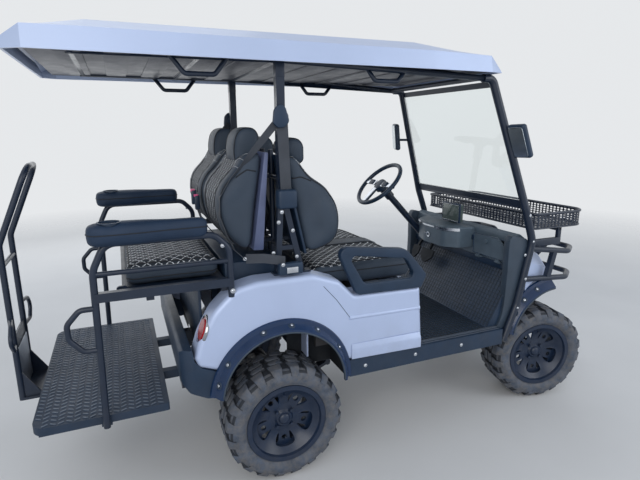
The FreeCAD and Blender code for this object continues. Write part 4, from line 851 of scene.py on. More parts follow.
def piping(name, body, rows, thickness):
    """Piped seams: thin round beads along lines laid on pads, from (pad, points, closed) rows."""
    beads = [round_bar(dressed_line(piece, line, 0.0006), thickness, closed, sides=8)
             for piece, line, closed in rows]
    return finished(name, merged(*beads), "piping_vinyl", body, slot="seat_vinyl", smooth=180)


# A stitch's length, the gap after it and its thickness: metres, metres and millimetres.
STITCH_LONG = 0.007
STITCH_GAP = 0.003
STITCH_THICK = 2


def stitches(piece, points):
    """Short threads along a line laid on a pad."""
    parts = []
    run = 0.0
    for a, b in zip(points, points[1:]):
        a, b = Vector(a), Vector(b)
        total = (b - a).length
        while run < total:
            ends = [a + (b - a) * (min(run + shift, total) / total) for shift in (0, STITCH_LONG)]
            ends = dressed_line(piece, ends, 0.0005)
            if (ends[1] - ends[0]).length > 0.002:
                parts.append(round_bar(ends, STITCH_THICK, sides=4))
            run += STITCH_LONG + STITCH_GAP
        run -= total
    return parts


def spread(corners, step=0.02, closed=True):
    """Points every step along a run of corners."""
    points = []
    ends = list(closed_pairs(corners))
    for a, b in ends if closed else ends[:-1]:
        count = max(1, round((b - a).length / step))
        points += [a + (b - a) * (i / count) for i in range(count)]
    return points if closed else points + [corners[-1]]


def profile_ring(points, corners):
    """A side outline with its corners rounded, as points on the cart's middle plane."""
    base = outlined([place(x, 0, z) for x, z in points], corners)
    ring = [vert.co.copy() for vert in base.faces[:][0].verts]
    base.free()
    return ring


def padded_profile(ring, low_y, high_y, edges):
    """A side outline drawn across the cart, shrunk near both sides by (distance in, inset) rows."""
    middle = centre_of(ring)
    reach = max((point - middle).length for point in ring)
    stations = [(low_y + side_in, inset) for side_in, inset in edges]
    stations += [(high_y - side_in, inset) for side_in, inset in reversed(edges)]
    mesh = bmesh.new()
    loops = []
    for y, inset in stations:
        shrink = 1 - inset / 1000 / reach
        verts = [mesh.verts.new(middle + (point - middle) * shrink + LEFT * (y / 1000)) for point in ring]
        loops.append([mesh.edges.new(pair) for pair in closed_pairs(verts)])
    for first, second in zip(loops, loops[1:]):
        bmesh.ops.bridge_loops(mesh, edges=first + second)
    for loop in (loops[0], loops[-1]):
        bmesh.ops.contextual_create(mesh, geom=loop)
    facing_out(mesh)
    return mesh


def run_along(ring):
    """How far along a side outline the point nearest to a place is."""
    lengths = [0.0]
    for a, b in zip(ring, ring[1:]):
        lengths.append(lengths[-1] + (b - a).length)

    def find(point):
        best = None
        for a, b, start in zip(ring, ring[1:], lengths):
            step = Vector((b.x - a.x, b.z - a.z))
            to = Vector((point.x - a.x, point.z - a.z))
            share = min(max(to.dot(step) / step.length_squared, 0.0), 1.0)
            away = (to - step * share).length_squared
            if best is None or away < best[0]:
                best = (away, start + step.length * share)
        return best[1]

    return find


# The seat backs and headrests seen from the side, (x, z), and their gap and widths, in millimetres.
FRONT_BACK = [(50, 1508), (96, 1508), (160, 1412), (280, 1330), (334, 1190), (300, 1080), (190, 1040),
              (160, 1044)]
REAR_BACK = [(-44, 1526), (-96, 1526), (-152, 1440), (-228, 1368), (-242, 1262), (-206, 1148),
             (-140, 1082), (-108, 1080)]
FRONT_HEAD = [(84, 1500), (86, 1580), (192, 1580), (198, 1446), (140, 1446)]
REAR_HEAD = [(-18, 1500), (-22, 1628), (-124, 1628), (-146, 1530), (-142, 1452), (-60, 1452)]
BACK_GAP = 12
BACK_WIDTH = 452
HEAD_WIDTH = 214
QUILT_HALF = 118
# How far in from the sides the piped seams of backs and headrests lie, and from a back's middle line the
# stitched patch on its shoulder.
BACK_SEAM = 26
HEAD_SEAM = 22
PATCH_SIDES = (122, 196)
# How a back's and a headrest's sides round off: (distance in from the side, inset) in millimetres.
BACK_SIDES = [(9, 34), (15, 17), (32, 9), (64, 8), (110, 10)]
HEAD_SIDES = [(7, 24), (13, 11), (26, 6), (60, 5)]
# How deep a back's quilted middle is hollowed, in metres.
HOLLOW = 0.016

# facing is 1 for a seat that looks ahead; quilting gives its lowest and highest z; seam is the cheek's
# upper seam and patch the stitched shoulder, each from one (x, z) to another.
BACKS = [
    {"name": "front_back", "node": "front_seat_backs", "facing": 1,
     "outline": FRONT_BACK, "ease": [4, 14, 44, 64, 70, 50, 10, 4],
     "head": FRONT_HEAD, "head_ease": [4, 52, 52, 30, 4], "quilting": (1075, 1470),
     "seam": ((66, 1392), (190, 1396)), "patch": ((104, 1500), (150, 1424))},
    {"name": "rear_back", "node": "rear_seat_backs", "facing": -1,
     "outline": REAR_BACK, "ease": [4, 16, 44, 48, 56, 44, 14, 4],
     "head": REAR_HEAD, "head_ease": [4, 46, 50, 30, 24, 4], "quilting": (1105, 1500),
     "seam": ((-60, 1432), (-172, 1424)), "patch": ((-104, 1518), (-148, 1450))},
]


def make_backs():
    """The four seat backs and headrests, still flat."""
    made = []
    for kind in BACKS:
        ring = profile_ring(kind["outline"], kind["ease"])
        head_ring = profile_ring(kind["head"], kind["head_ease"])
        centre = centre_of(ring)
        for side, label in ((1, "left"), (-1, "right")):
            middle_y = side * (BACK_GAP + BACK_WIDTH / 2)
            low_y = middle_y - BACK_WIDTH / 2
            mesh = padded_profile(ring, low_y, low_y + BACK_WIDTH, BACK_SIDES)
            for vert in mesh.verts:
                if (vert.co.x - centre.x) * kind["facing"] > 0.01:
                    share = band(vert.co.y, (middle_y - 50) / 1000, (middle_y + 50) / 1000, 0.07)
                    vert.co.x -= kind["facing"] * HOLLOW * share
            back = pad(f"{kind['name']}_{label}", mesh, "chassis", [kind["node"]], cell=0.0088, cap=0.012)
            low_y = middle_y - HEAD_WIDTH / 2
            mesh = padded_profile(head_ring, low_y, low_y + HEAD_WIDTH, HEAD_SIDES)
            rest = pad(f"{kind['name']}_headrest_{label}", mesh, "chassis", [kind["node"]],
                       cell=0.0085, cap=0.009)
            made.append((kind, label, ring, head_ring, middle_y, back, rest))
    return made


def back_seams(kind, ring, head_ring, middle_y, back, rest):
    """The piped seams of one back and headrest: cheeks, cheek tops, quilting's edges, headrest sides."""
    facing = kind["facing"]
    top = kind["quilting"][1] / 1000
    centre = centre_of(ring)
    (x_in, z_in), (x_out, z_out) = kind["seam"]
    rows = []
    half = BACK_WIDTH / 2
    for y in (middle_y - half + BACK_SEAM, middle_y + half - BACK_SEAM):
        rows.append((back, [centre + (point - centre) * 1.03 + LEFT * (y / 1000) for point in ring], True))
        side_y = y + (-30 if y < middle_y else 30)
        line = spread([place(x_in, side_y, z_in), place((x_in + x_out) / 2, side_y, z_in + 12),
                       place(x_out, side_y, z_out)], 0.012, closed=False)
        rows.append((back, line, False))
    for y in (middle_y - QUILT_HALF - 5, middle_y + QUILT_HALF + 5):
        front = [point for point in ring if (point.x - centre.x) * facing > 0 and point.z < top]
        rows.append((back, [point + LEFT * (y / 1000) for point in front], False))
    half = HEAD_WIDTH / 2
    for y in (middle_y - half + HEAD_SEAM, middle_y + half - HEAD_SEAM):
        rows.append((rest, [point + LEFT * (y / 1000) for point in head_ring], True))
    return rows


def shoulder_stitches(kind, middle_y, back):
    """A ladder of stitches on each shoulder of one back."""
    (x_high, z_high), (x_low, z_low) = kind["patch"]
    threads = []
    for sign in (-1, 1):
        rails = [(place(x_high, middle_y + sign * y, z_high), place(x_low, middle_y + sign * y, z_low))
                 for y in PATCH_SIDES]
        rungs = [(rails[0][0].lerp(rails[0][1], share), rails[1][0].lerp(rails[1][1], share))
                 for share in (0.0, 0.5, 1.0)]
        for ends in rails + rungs:
            threads += stitches(back, spread(list(ends), 0.03, closed=False))
    return threads


def dress_back(kind, label, ring, head_ring, middle_y, back, rest):
    """Quilting, piped seams and shoulder stitching on one seat back."""
    low_z, high_z = (z / 1000 for z in kind["quilting"])
    low_y, high_y = (middle_y - QUILT_HALF) / 1000, (middle_y + QUILT_HALF) / 1000

    def panel(point, normal):
        if normal.x * kind["facing"] < -0.1:
            return 0.0
        return min(band(point.y, low_y, high_y, 0.008), band(point.z, low_z, high_z, 0.01))

    quilted(back, panel, run_along(ring))
    piping(f"{kind['name']}_piping_{label}", "chassis",
           back_seams(kind, ring, head_ring, middle_y, back, rest), 5.5)
    finished(f"{kind['name']}_stitching_{label}", merged(*shoulder_stitches(kind, middle_y, back)), "thread",
             "chassis", slot="seat_vinyl")


# The shells behind the backs: name, finish and side outline as (x, z); and how wide each one is.
SHELLS = [
    ("front", "trim_black", [(40, 1496), (50, 1500), (152, 1052), (140, 1050)]),
    # This shell's blue finish is a painted sky reflection.
    ("rear", "shell_painted_sky_reflection", [(-36, 1516), (-20, 1512), (-54, 1088), (-100, 1090)]),
]
SHELL_WIDTH = 424


def make_back_shells():
    """The thin moulded shells behind the padding of each seat back; the rear ones carry a painted sky reflection
    in their blue.
    """
    for name, material, points in SHELLS:
        parts = []
        for side in (1, -1):
            low_y = side * (BACK_GAP + BACK_WIDTH / 2) - SHELL_WIDTH / 2
            shell = outlined([place(x, low_y, z) for x, z in points], [0] * 4)
            parts.append(eased(thickened(shell, LEFT * (SHELL_WIDTH / 1000)), 3.5, 40, 2))
        finished(f"{name}_back_shells", merged(*parts), material, "chassis")


def level(z, plan):
    """Places at one height, from (x, y) rows in millimetres."""
    return [place(x, y, z) for x, y in plan]


def slab(corners, eases, height, rounding):
    """A cushion's block: a plan raised by a height and rounded, both in millimetres."""
    return eased(thickened(outlined(corners, eases), UP * (height / 1000)), rounding, 60, 3)


# Where the cushions' tops begin, how far each is crowned towards its middle, and its half width: metres.
BENCH_TOP = 0.9
BENCH_CROWN = 0.010
CUSHION_TOP = 1.03
CUSHION_CROWN = 0.006
CUSHION_HALF = 0.44
# The bench's raised middle and the height that the rear cushion's flat foot keeps.
BENCH_RIDGE = 0.006
CUSHION_FOOT = 0.9795


def crown(y, height):
    """How far a cushion's top rises at a place across it."""
    return height * max(0.0, 1 - (y / CUSHION_HALF) ** 2)


# The front bench's plan, as (x, distance left of the middle).
BENCH_PLAN = [(190, 402), (372, 402), (408, 430), (756, 430), (756, -430), (408, -430), (372, -402),
              (190, -402)]


def make_bench():
    """The front bench, still flat and not yet crowned, rounded at its front."""
    mesh = slab(level(866, BENCH_PLAN), [14, 0, 0, 44, 44, 0, 0, 14], height=86, rounding=20)
    return pad("front_bench", mesh, "front_seat", ["front_cushion"], cell=0.0092, cap=0.013)


def dress_bench(bench):
    for vert in bench.data.vertices:
        if vert.co.z > BENCH_TOP:
            vert.co.z += crown(vert.co.y, BENCH_CROWN)
            vert.co.z += BENCH_RIDGE * band(vert.co.y, -0.05, 0.05, 0.02)

    def panel(point, normal):
        if normal.z < 0.3:
            return 0.0
        sides = max(band(point.y, -0.372, -0.068, 0.008), band(point.y, 0.068, 0.372, 0.008))
        return min(sides, band(point.x, ahead_of_axle(200), ahead_of_axle(700), 0.008))

    quilted(bench, panel, lambda point: point.x)
    rows = []
    for low, high in ((-375, -65), (65, 375)):
        corners = level(985, ((202, low), (703, low), (703, high), (202, high)))
        rows.append((bench, spread(corners, 0.015), True))
    rim = [place(x, y * 1.06, 935) for x, y in BENCH_PLAN]
    rows.append((bench, spread(rim, 0.015), True))
    piping("front_bench_piping", "front_seat", rows, 5)


def make_flip_cushion():
    """The rear bench's cushion, still flat."""
    plan = level(989, ((-640, 431), (-241, 431), (-241, -431), (-640, -431)))
    mesh = slab(plan, [38] * 4, height=78, rounding=18)
    return pad("flip_cushion", mesh, "rear_seat", ["rear_cushion"], cell=0.0088, cap=0.012)


def dress_flip_cushion(cushion):
    for vert in cushion.data.vertices:
        if vert.co.z > CUSHION_TOP:
            vert.co.z += crown(vert.co.y, CUSHION_CROWN)
        else:
            vert.co.z = max(vert.co.z, CUSHION_FOOT)

    def panel(point, normal):
        if normal.z < 0.35:
            return 0.0
        return min(band(point.y, -0.404, 0.404, 0.008),
                   band(point.x, ahead_of_axle(-622), ahead_of_axle(-262), 0.008))

    quilted(cushion, panel, lambda point: point.x)
    top = level(1085, ((-626, 408), (-258, 408), (-258, -408), (-626, -408)))
    rows = [(cushion, spread(top, 0.015), True)]
    for z in (1058, 1004):
        rim = level(z, ((-655, 446), (-226, 446), (-226, -446), (-655, -446)))
        rows.append((cushion, spread(rim, 0.015), True))
    piping("flip_cushion_piping", "rear_seat", rows, 5)


# An arm pad's plan: x, and y outwards from its middle line.
ARM_PLAN = [(-752, -56), (-752, 52), (-560, 48), (-470, 29), (-305, 25), (-305, -33), (-470, -35),
            (-560, -56)]
ARM_MIDDLE = 528
# A cup holder: its middle, its (radius, height) profile and the height of its rim in metres.
CUP_MIDDLE = (-668, 526)
CUP = [(37.0, 0.2), (39, 1.0), (43.0, 0.4), (44.0, -2.0), (38.8, -3), (38.4, -58), (30, -62), (0, -62),
       (0, -60.5), (29, -60.5), (36.4, -57), (36.8, -3)]
CUP_TOP = 1.2748


def make_arm_pads():
    """The two armrest pads, still flat."""
    made = []
    for side, label in ((1, "left"), (-1, "right")):
        plan = [place(x, side * (ARM_MIDDLE + y), 1188) for x, y in ARM_PLAN]
        mesh = slab(plan, [46, 46, 44, 44, 26, 26, 44, 44], height=82, rounding=19)
        arm = pad(f"arm_pad_{label}", mesh, "chassis", ["armrest_pads"], cell=0.0068, cap=0.006,
                  material="pad_vinyl")
        made.append((side, label, arm))
    return made


def dress_arm_pad(side, label, arm):
    """Sink the pad under its cup holder and lay a piped seam round its edge."""
    cup_x, cup_y = CUP_MIDDLE
    centre = place(cup_x, side * cup_y, 0)
    for vert in arm.data.vertices:
        away = Vector((vert.co.x - centre.x, vert.co.y - centre.y)).length
        if vert.co.z > 1.236 and away < 0.0375:
            vert.co.z = 1.209
    upright = Matrix.Rotation(math.pi / 2, 4, "X")
    cup = moved(turned(CUP, 40), Matrix.Translation((centre.x, centre.y, CUP_TOP)) @ upright)
    finished(f"cup_holder_{label}", cup, "trim_black", "chassis")
    rim = [place(x, side * (ARM_MIDDLE + y * 1.12), 1234) for x, y in ARM_PLAN]
    piping(f"arm_pad_piping_{label}", "chassis", [(arm, spread(rim, 0.012), True)], 4)


def make_seats():
    backs = make_backs()
    bench = make_bench()
    cushion = make_flip_cushion()
    arms = make_arm_pads()
    inflate_pads()
    for row in backs:
        dress_back(*row)
    make_back_shells()
    dress_bench(bench)
    dress_flip_cushion(cushion)
    for row in arms:
        dress_arm_pad(*row)


make_seats()


# Sheet metal, straps and fastenings

def block(low, high, ease, segments=2):
    """A box between two corners in metres, its edges rounded by millimetres."""
    mesh = bmesh.new()
    bmesh.ops.create_cube(mesh, size=1)
    bmesh.ops.scale(mesh, vec=high - low, verts=mesh.verts[:])
    bmesh.ops.translate(mesh, vec=(high + low) / 2, verts=mesh.verts[:])
    facing_out(mesh)
    return eased(mesh, ease, 30, segments) if ease else mesh


def box(low, high, ease, segments=2):
    """A rounded box between two places of the cart, in millimetres."""
    return block(place(*low), place(*high), ease, segments)


def places(*rows):
    return [place(*row) for row in rows]


def plate_across(x, corners, ease, push):
    """A plate that starts from (y, z) corners at one x and is pushed out along a vector in metres."""
    return thickened(outlined([place(x, y, z) for y, z in corners], ease), Vector(push))


def ribbon(middles, halves, thickness):
    """A flat strap drawn through points, each with half its width as a vector."""
    mesh = bmesh.new()
    edge = mesh.edges.new([mesh.verts.new(middles[0] + halves[0] * sign) for sign in (-1, 1)])
    for before, half_before, middle, half in zip(middles, halves, middles[1:], halves[1:]):
        pushed = bmesh.ops.extrude_edge_only(mesh, edges=[edge])["geom"]
        ends = [item for item in pushed if isinstance(item, bmesh.types.BMVert)]
        edge = next(item for item in pushed if isinstance(item, bmesh.types.BMEdge)
                    and all(vert in ends for vert in item.verts))
        for vert in ends:
            sign = 1 if (vert.co - before).dot(half_before) > 0 else -1
            vert.co = middle + half * sign
    facing_out(mesh)
    bmesh.ops.solidify(mesh, geom=mesh.faces[:], thickness=thickness / 1000)
    return mesh


def even_ribbon(middles, half, thickness):
    """A strap with the same half width all along."""
    return ribbon(middles, [half] * len(middles), thickness)


def both(make):
    """The same piece on the left and, mirrored, on the right."""
    left, right = make(), make()
    bmesh.ops.scale(right, vec=(1, -1, 1), verts=right.verts[:])
    return merged(left, facing_out(right))


def at_length(ring, run):
    """The point a length along a closed ring."""
    for a, b in closed_pairs(ring):
        step = (b - a).length
        if run <= step:
            return a + (b - a) * (run / step if step else 0)
        run -= step
    return ring[0].copy()


# The basket, in millimetres: its plan with how far each corner is eased, and the heights of its wall,
# between which lie five rows of slots.
BASKET_PLAN = [(1488, -495), (1890, -495), (1890, 495), (1488, 495)]
BASKET_CORNERS = [30, 90, 90, 30]
BASKET_ROWS = [1056, 1068, 1077, 1082, 1091, 1096, 1105, 1110, 1119, 1124, 1133, 1138, 1150]
# The slots, in metres.
SLOT_PITCH = 0.026
SLOT_LONG = 0.0165
# Heights of its rim and flange in metres, and how far out its arms lie in millimetres.
RIM_HEIGHT = 1.143
FLANGE_HEIGHT = 1.0605
ARM_OUT = 482
# The basket's floor: how many cells ahead and across, its size in metres, and its middle.
FLOOR_CELLS = (26, 66)
FLOOR_SIZE = (0.4, 0.98)
FLOOR_MIDDLE = (1689, 0, 1060)
# Where the floor's front corners start to bend, with their radius, in metres.
CORNER_X = ahead_of_axle(1800)
CORNER_Y = 0.405
CORNER_RADIUS = 0.088


def basket_wall(ring):
    """The basket's wall with its rows of slots."""
    around = sum((b - a).length for a, b in closed_pairs(ring))
    count = round(around / SLOT_PITCH)
    stations = [at_length(ring, (i + share) * around / count)
                for i in range(count) for share in (0.0, SLOT_LONG / SLOT_PITCH)]
    mesh = bmesh.new()
    loops = []
    for z in BASKET_ROWS:
        verts = [mesh.verts.new(spot + UP * (z / 1000)) for spot in stations]
        loops.append([mesh.edges.new(pair) for pair in closed_pairs(verts)])
    slots = []
    for row, (first, second) in enumerate(zip(loops, loops[1:])):
        faces = bmesh.ops.bridge_loops(mesh, edges=first + second)["faces"]
        if row % 2:
            slots += [face for face in faces
                      if max(edge.calc_length() for edge in face.edges) > SLOT_LONG * 0.9]
    bmesh.ops.delete(mesh, geom=slots, context="FACES_ONLY")
    facing_out(mesh)
    bmesh.ops.solidify(mesh, geom=mesh.faces[:], thickness=0.002)
    return mesh


def basket_floor():
    """The basket's punched floor, its front corners cut round."""
    cells_ahead, cells_across = FLOOR_CELLS
    length, width = FLOOR_SIZE
    mesh = bmesh.new()
    bmesh.ops.create_grid(mesh, x_segments=cells_ahead, y_segments=cells_across, size=0.5)
    bmesh.ops.scale(mesh, vec=(length, width, 1), verts=mesh.verts[:])
    bmesh.ops.translate(mesh, vec=place(*FLOOR_MIDDLE), verts=mesh.verts[:])
    back = place(*FLOOR_MIDDLE).x - length / 2
    holes = []
    for face in mesh.faces:
        spot = face.calc_center_median()
        ahead = round((spot.x - back) / length * cells_ahead - 0.5)
        across = round((spot.y / width + 0.5) * cells_across - 0.5)
        inside = 1 < ahead < cells_ahead - 1 and 1 < across < cells_across - 2
        corner = spot.x > CORNER_X and abs(spot.y) > 0.42
        if ahead % 2 and across % 3 and inside and not corner:
            holes.append(face)
    bmesh.ops.delete(mesh, geom=holes, context="FACES_ONLY")
    cut = [vert for vert in mesh.verts
           if vert.co.x > CORNER_X and abs(vert.co.y) > CORNER_Y
           and math.hypot(vert.co.x - CORNER_X, abs(vert.co.y) - CORNER_Y) > CORNER_RADIUS]
    bmesh.ops.delete(mesh, geom=cut, context="VERTS")
    facing_out(mesh)
    bmesh.ops.solidify(mesh, geom=mesh.faces[:], thickness=0.002)
    return mesh


def make_basket():
    """The front basket: slotted walls and floor, a round rim, a flange, and the arms that carry it."""
    base = outlined([place(x, y, 0) for x, y in BASKET_PLAN], BASKET_CORNERS)
    ring = [vert.co.copy() for vert in base.faces[:][0].verts]
    base.free()
    rim = round_bar([spot + UP * RIM_HEIGHT for spot in ring], 15, closed=True, sides=12)
    flange = round_bar([spot + UP * FLANGE_HEIGHT for spot in ring], 9, closed=True, sides=8)
    parts = [basket_wall(ring), basket_floor(), rim, flange]
    for y in (-ARM_OUT, ARM_OUT):
        parts.append(box((1440, y - 11, 956), (1706, y + 11, 998), 4))
        parts.append(box((1680, y - 10, 994), (1706, y + 10, 1056), 3))
    parts.append(box((1684, -492, 1034), (1706, 492, 1056), 3))
    finished("front_basket", merged(*parts), "frame_black", "chassis", "basket")


# Spacing of the footplate's bars and the size of one, in metres, and how far it is turned, in radians.
BAR_PITCH = 0.029
BAR_SIZE = (0.027, 0.006, 0.0046)
BAR_TURN = 0.5


def make_footplate_tread():
    """Raised herringbone bars over the rear footplate."""
    mesh = bmesh.new()
    low, high = places((-1004, -496, 480), (-524, 496, 480))
    columns = int((high.y - low.y) / BAR_PITCH)
    rows = int((high.x - low.x) / BAR_PITCH)
    for i in range(columns + 1):
        for j in range(rows + 1):
            spot = Vector((low.x + j * BAR_PITCH, low.y + i * BAR_PITCH, low.z + 0.0006))
            if spot.x < ahead_of_axle(-975) and abs(spot.y) > 0.465:
                continue
            turn = Matrix.Rotation(BAR_TURN if j % 2 else -BAR_TURN, 4, "Z")
            made = bmesh.ops.create_cube(
                mesh, size=1, matrix=Matrix.Translation(spot) @ turn @ Matrix.Diagonal((*BAR_SIZE, 1)))
            upper = [vert for vert in made["verts"] if vert.co.z > spot.z]
            bmesh.ops.scale(mesh, vec=(0.8, 0.8, 1), space=Matrix.Translation(-spot), verts=upper)
    finished("footplate_tread", mesh, "rubbed_black", "chassis", slot="plate_black")


# Spacing of the floor mat's ribs in millimetres, and the toe board's foot and top.
RIB_PITCH = 24
TOE_FOOT = (1216, 522)
TOE_TOP = (1388, 827)


def make_floor_mats():
    """Ribbed rubber over the floor pan and up the toe board, with a scuffed threshold strip."""
    parts = []
    (foot_x, foot_z), (top_x, top_z) = TOE_FOOT, TOE_TOP
    foot = place(foot_x, 0, foot_z)
    rise = (place(top_x, 0, top_z) - foot).normalized()
    for i in range(950 // RIB_PITCH + 1):
        y = -475 + i * RIB_PITCH
        parts.append(box((742, y - 3.4, 517), (1206, y + 3.4, 520.5), 0))
        parts.append(round_bar(places((foot_x, y, foot_z), (top_x, y, top_z)), 4.0, sides=4))
    for j in range(19):
        x = 748 + j * RIB_PITCH
        parts.append(box((x - 2.6, -480, 517), (x + 2.6, 480, 519.6), 0))
    for j in range(1, 14):
        spot = foot + rise * (j * RIB_PITCH / 1000)
        parts.append(round_bar([spot - LEFT * 0.478, spot + LEFT * 0.478], 3.0, sides=4))
    finished("floor_mats", merged(*parts), "mat_rubber", "chassis", smooth=30)
    strips = both(lambda: merged(box((744, 489, 516), (1270, 506, 523), 1.6),
                                 box((744, 516, 516), (1270, 522, 521), 1.2)))
    finished("threshold_strips", strips, "worn_black", "chassis")


# A door post's side, as (x, z, how far the corner is eased).
POST_EDGE = [
    (1318, 1042, 34), (1440, 1012, 12), (1452, 960, 12), (1404, 700, 30), (1372, 600, 30), (1330, 508, 20),
    (1262, 500, 6), (1300, 560, 40), (1313, 665, 30), (1317, 840, 0), (1314, 960, 16),
]


def make_gap_panels():
    """Door posts, and the dark lining between the dashboard, the toe board and the windscreen pillars."""
    def post():
        mesh = outlined([place(x, 460, z) for x, z, ease in POST_EDGE], [ease for x, z, ease in POST_EDGE])
        return eased(thickened(mesh, LEFT * 0.042), 9, 40, 3)

    def side():
        return merged(box((1374, 440, 520), (1392, 492, 1000), 4), box((1360, 400, 826), (1400, 487, 872), 4))

    finished("door_posts", both(post), "post_grey", "chassis")
    finished("dash_side_linings", both(side), "trim_black", "chassis")
    finished("dash_lower_lining", box((1366, -478, 818), (1402, 478, 872), 5), "trim_black", "chassis")


# The display's glass, as its low and high y and z.
GLASS_Y = (-62, 96)
GLASS_Z = (1042, 1144)
# Rings on the dashboard's console: y, z and radius.
CONSOLE_RINGS = [(70, 949, 17), (106, 956, 6), (90, 953, 6)]
# Bright strips near the console's top edge: half their height in metres, and the (x, y) they lie nearest to.
CONSOLE_STRIPS = [
    (0.005, [(1225, 262), (1205, 200), (1184, 140), (1180, 90), (1180, 10)]),
    (0.009, [(1180, -10), (1182, -74), (1205, -105), (1240, -142), (1262, -158)]),
]


def make_dash_fittings():
    """Display surround and glass, switches, key ring and knobs, bright strips, and the lid's groove."""
    parts = [box((1314, -72, 1032), (1324, 106, 1154), 4)]
    parts += [box((1352, y - 11, 946), (1362, y + 11, 976), 3) for y in (-120, -152)]
    parts += [box((1352, y - 20, 952), (1364, y + 20, 986), 3) for y in (300, 356, 412)]
    finished("dash_switches", merged(*parts), "trim_black", "chassis")
    (low_y, high_y), (low_z, high_z) = GLASS_Y, GLASS_Z
    glass = box((1312.5, low_y, low_z), (1316, high_y, high_z), 1.5)
    finished("display_glass", glass, "screen", "chassis")
    bright = []
    for y, z, size in CONSOLE_RINGS:
        ring = turned([(size * 0.6, 1), (size * 0.8, 0), (size, 0), (size, 5), (size * 0.6, 5)], 28)
        ahead = Matrix.Rotation(-math.pi / 2, 4, "Z")
        bright.append(moved(ring, Matrix.Translation(place(1186, y, z)) @ ahead))
    console = frame["nodes"]["dashboard"]
    for half, corners in CONSOLE_STRIPS:
        middles = [on_surface(console, place(x, y, 1008), 0.0015) for x, y in corners]
        bright.append(even_ribbon(middles, UP * half, 3))
    glass_rim = places((1311, low_y, low_z), (1311, high_y, low_z),
                       (1311, high_y, high_z), (1311, low_y, high_z))
    bright.append(round_bar(glass_rim, 1.6, closed=True, sides=6))
    finished("dash_brights", merged(*bright), "bright_metal", "chassis")
    rim = places((1341, -452, 878), (1341, -452, 997), (1341, -184, 997), (1341, -184, 878))
    finished("lid_groove", round_bar(rim, 3, closed=True, sides=6), "flare_black", "glovebox_lid",
             slot="trim_black")


def turned_at(profile, centre, facing, steps=32):
    """A spun ring or cap whose +Y end faces a direction."""
    turn = Vector(facing).to_track_quat("Y", "Z").to_matrix().to_4x4()
    return moved(turned(profile, steps), Matrix.Translation(centre) @ turn)


# Where the round lamps at the back look.
LAMP_FACING = (-0.94, 0, 0.34)


def make_lamps():
    """Chrome rings and red lenses of the round lamps at the back."""
    rings, lenses = [], []
    for y in (-478, 478):
        centre = place(-338, y, 770)
        outer = [(50, 4), (55, 10), (62, 9), (66, 3), (66, -3), (50, -3)]
        inner = [(0, 8), (14, 8), (17, 5), (17, 2), (0, 2)]
        rings.append(turned_at(outer, centre, LAMP_FACING, 48))
        rings.append(turned_at(inner, centre, LAMP_FACING))
        lenses.append(turned_at([(17, 7), (34, 8), (50, 4), (50, 0), (17, 0)], centre, LAMP_FACING, 48))
    finished("tail_lamp_rings", merged(*rings), "dark_chrome", "chassis", slot="lamp_red")
    finished("tail_lamp_lenses", merged(*lenses), "lamp_red", "chassis")


# The steering wheel's hub, and how far its axis leans, in degrees.
STEERING_HUB = (932, 269, 1266)
STEERING_LEAN = 46


def make_steering_fittings():
    """Bright spoke inserts, a plain hub cover and two control pods."""
    lean = math.radians(STEERING_LEAN)
    away = Vector((math.cos(lean), 0, -math.sin(lean)))
    turn = Matrix((LEFT, away.cross(LEFT), -away)).transposed().to_4x4()
    at = Matrix.Translation(place(*STEERING_HUB)) @ turn
    inserts = []
    pods = [turned_at([(0, 6), (30, 5), (40, 0), (44, -12), (44, -34), (0, -34)], Vector(), (0, 0, 1), 40)]
    for angle in (0, 180, 270):
        spin = Matrix.Rotation(math.radians(angle), 4, "Z")
        spoke = outlined([Vector((x, y, 0.001)) for x, y in
                          ((0.040, -0.021), (0.150, -0.014), (0.150, 0.014), (0.040, 0.021))], [4] * 4)
        inserts.append(moved(eased(thickened(spoke, Vector((0, 0, 0.005))), 1.5), spin))
        if angle != 270:
            pods.append(moved(block(Vector((0.058, -0.018, 0.004)), Vector((0.106, 0.018, 0.014)), 5), spin))
    for name, parts, material in (("spoke_inserts", inserts, "bright_metal"),
                                  ("wheel_pods", pods, "trim_black")):
        finished(name, moved(merged(*parts), at), material, "steering_wheel")


# Each mirror: side, middle, and how far it is turned and leans, in degrees.
MIRRORS = [(1, (1217, 541.7, 1556), 20, 6), (-1, (1290, -540, 1546), 4, 23)]


def make_mirror_glass():
    parts = []
    for side, middle, turn, lean in MIRRORS:
        glass = outlined([Vector((-0.0165, y, z)) for y, z in
                          ((-0.045, -0.081), (0.045, -0.081), (0.045, 0.081), (-0.045, 0.081))], [14] * 4)
        eased(thickened(glass, Vector((-0.0025, 0, 0))), 0.8)
        parts.append(moved(glass, Matrix.Translation(place(*middle))
                           @ Matrix.Rotation(math.radians(-lean), 4, "Y")
                           @ Matrix.Rotation(math.radians(-side * turn), 4, "Z")))
    finished("mirror_glass", merged(*parts), "mirror_silver", "chassis", smooth=20)


# A belt over the rear seat's shoulder, on the left: free points near the guide, places on the back's
# padding, and free points near the anchor; and how far the strap is turned flat at each, from 0 to 1.
BELT_FROM_GUIDE = [(20, 482, 1650), (-30, 474, 1590), (-86, 462, 1522)]
BELT_ON_BACK = [(-135, 446, 1462), (-185, 438, 1405), (-232, 434, 1330), (-244, 434, 1250), (-222, 436, 1170)]
BELT_TO_ANCHOR = [(-190, 466, 1108), (-150, 492, 1070)]
BELT_TURNS = [0, 0, 0.1, 0.35, 0.65, 0.9, 1, 1, 1, 1]
# The guide's cap, as (x, z, how far the corner is eased).
CAP_EDGE = [(-12, 1636, 8), (-6, 1690, 12), (18, 1712, 10), (44, 1702, 12), (62, 1640, 12), (36, 1616, 8),
            (8, 1616, 8)]


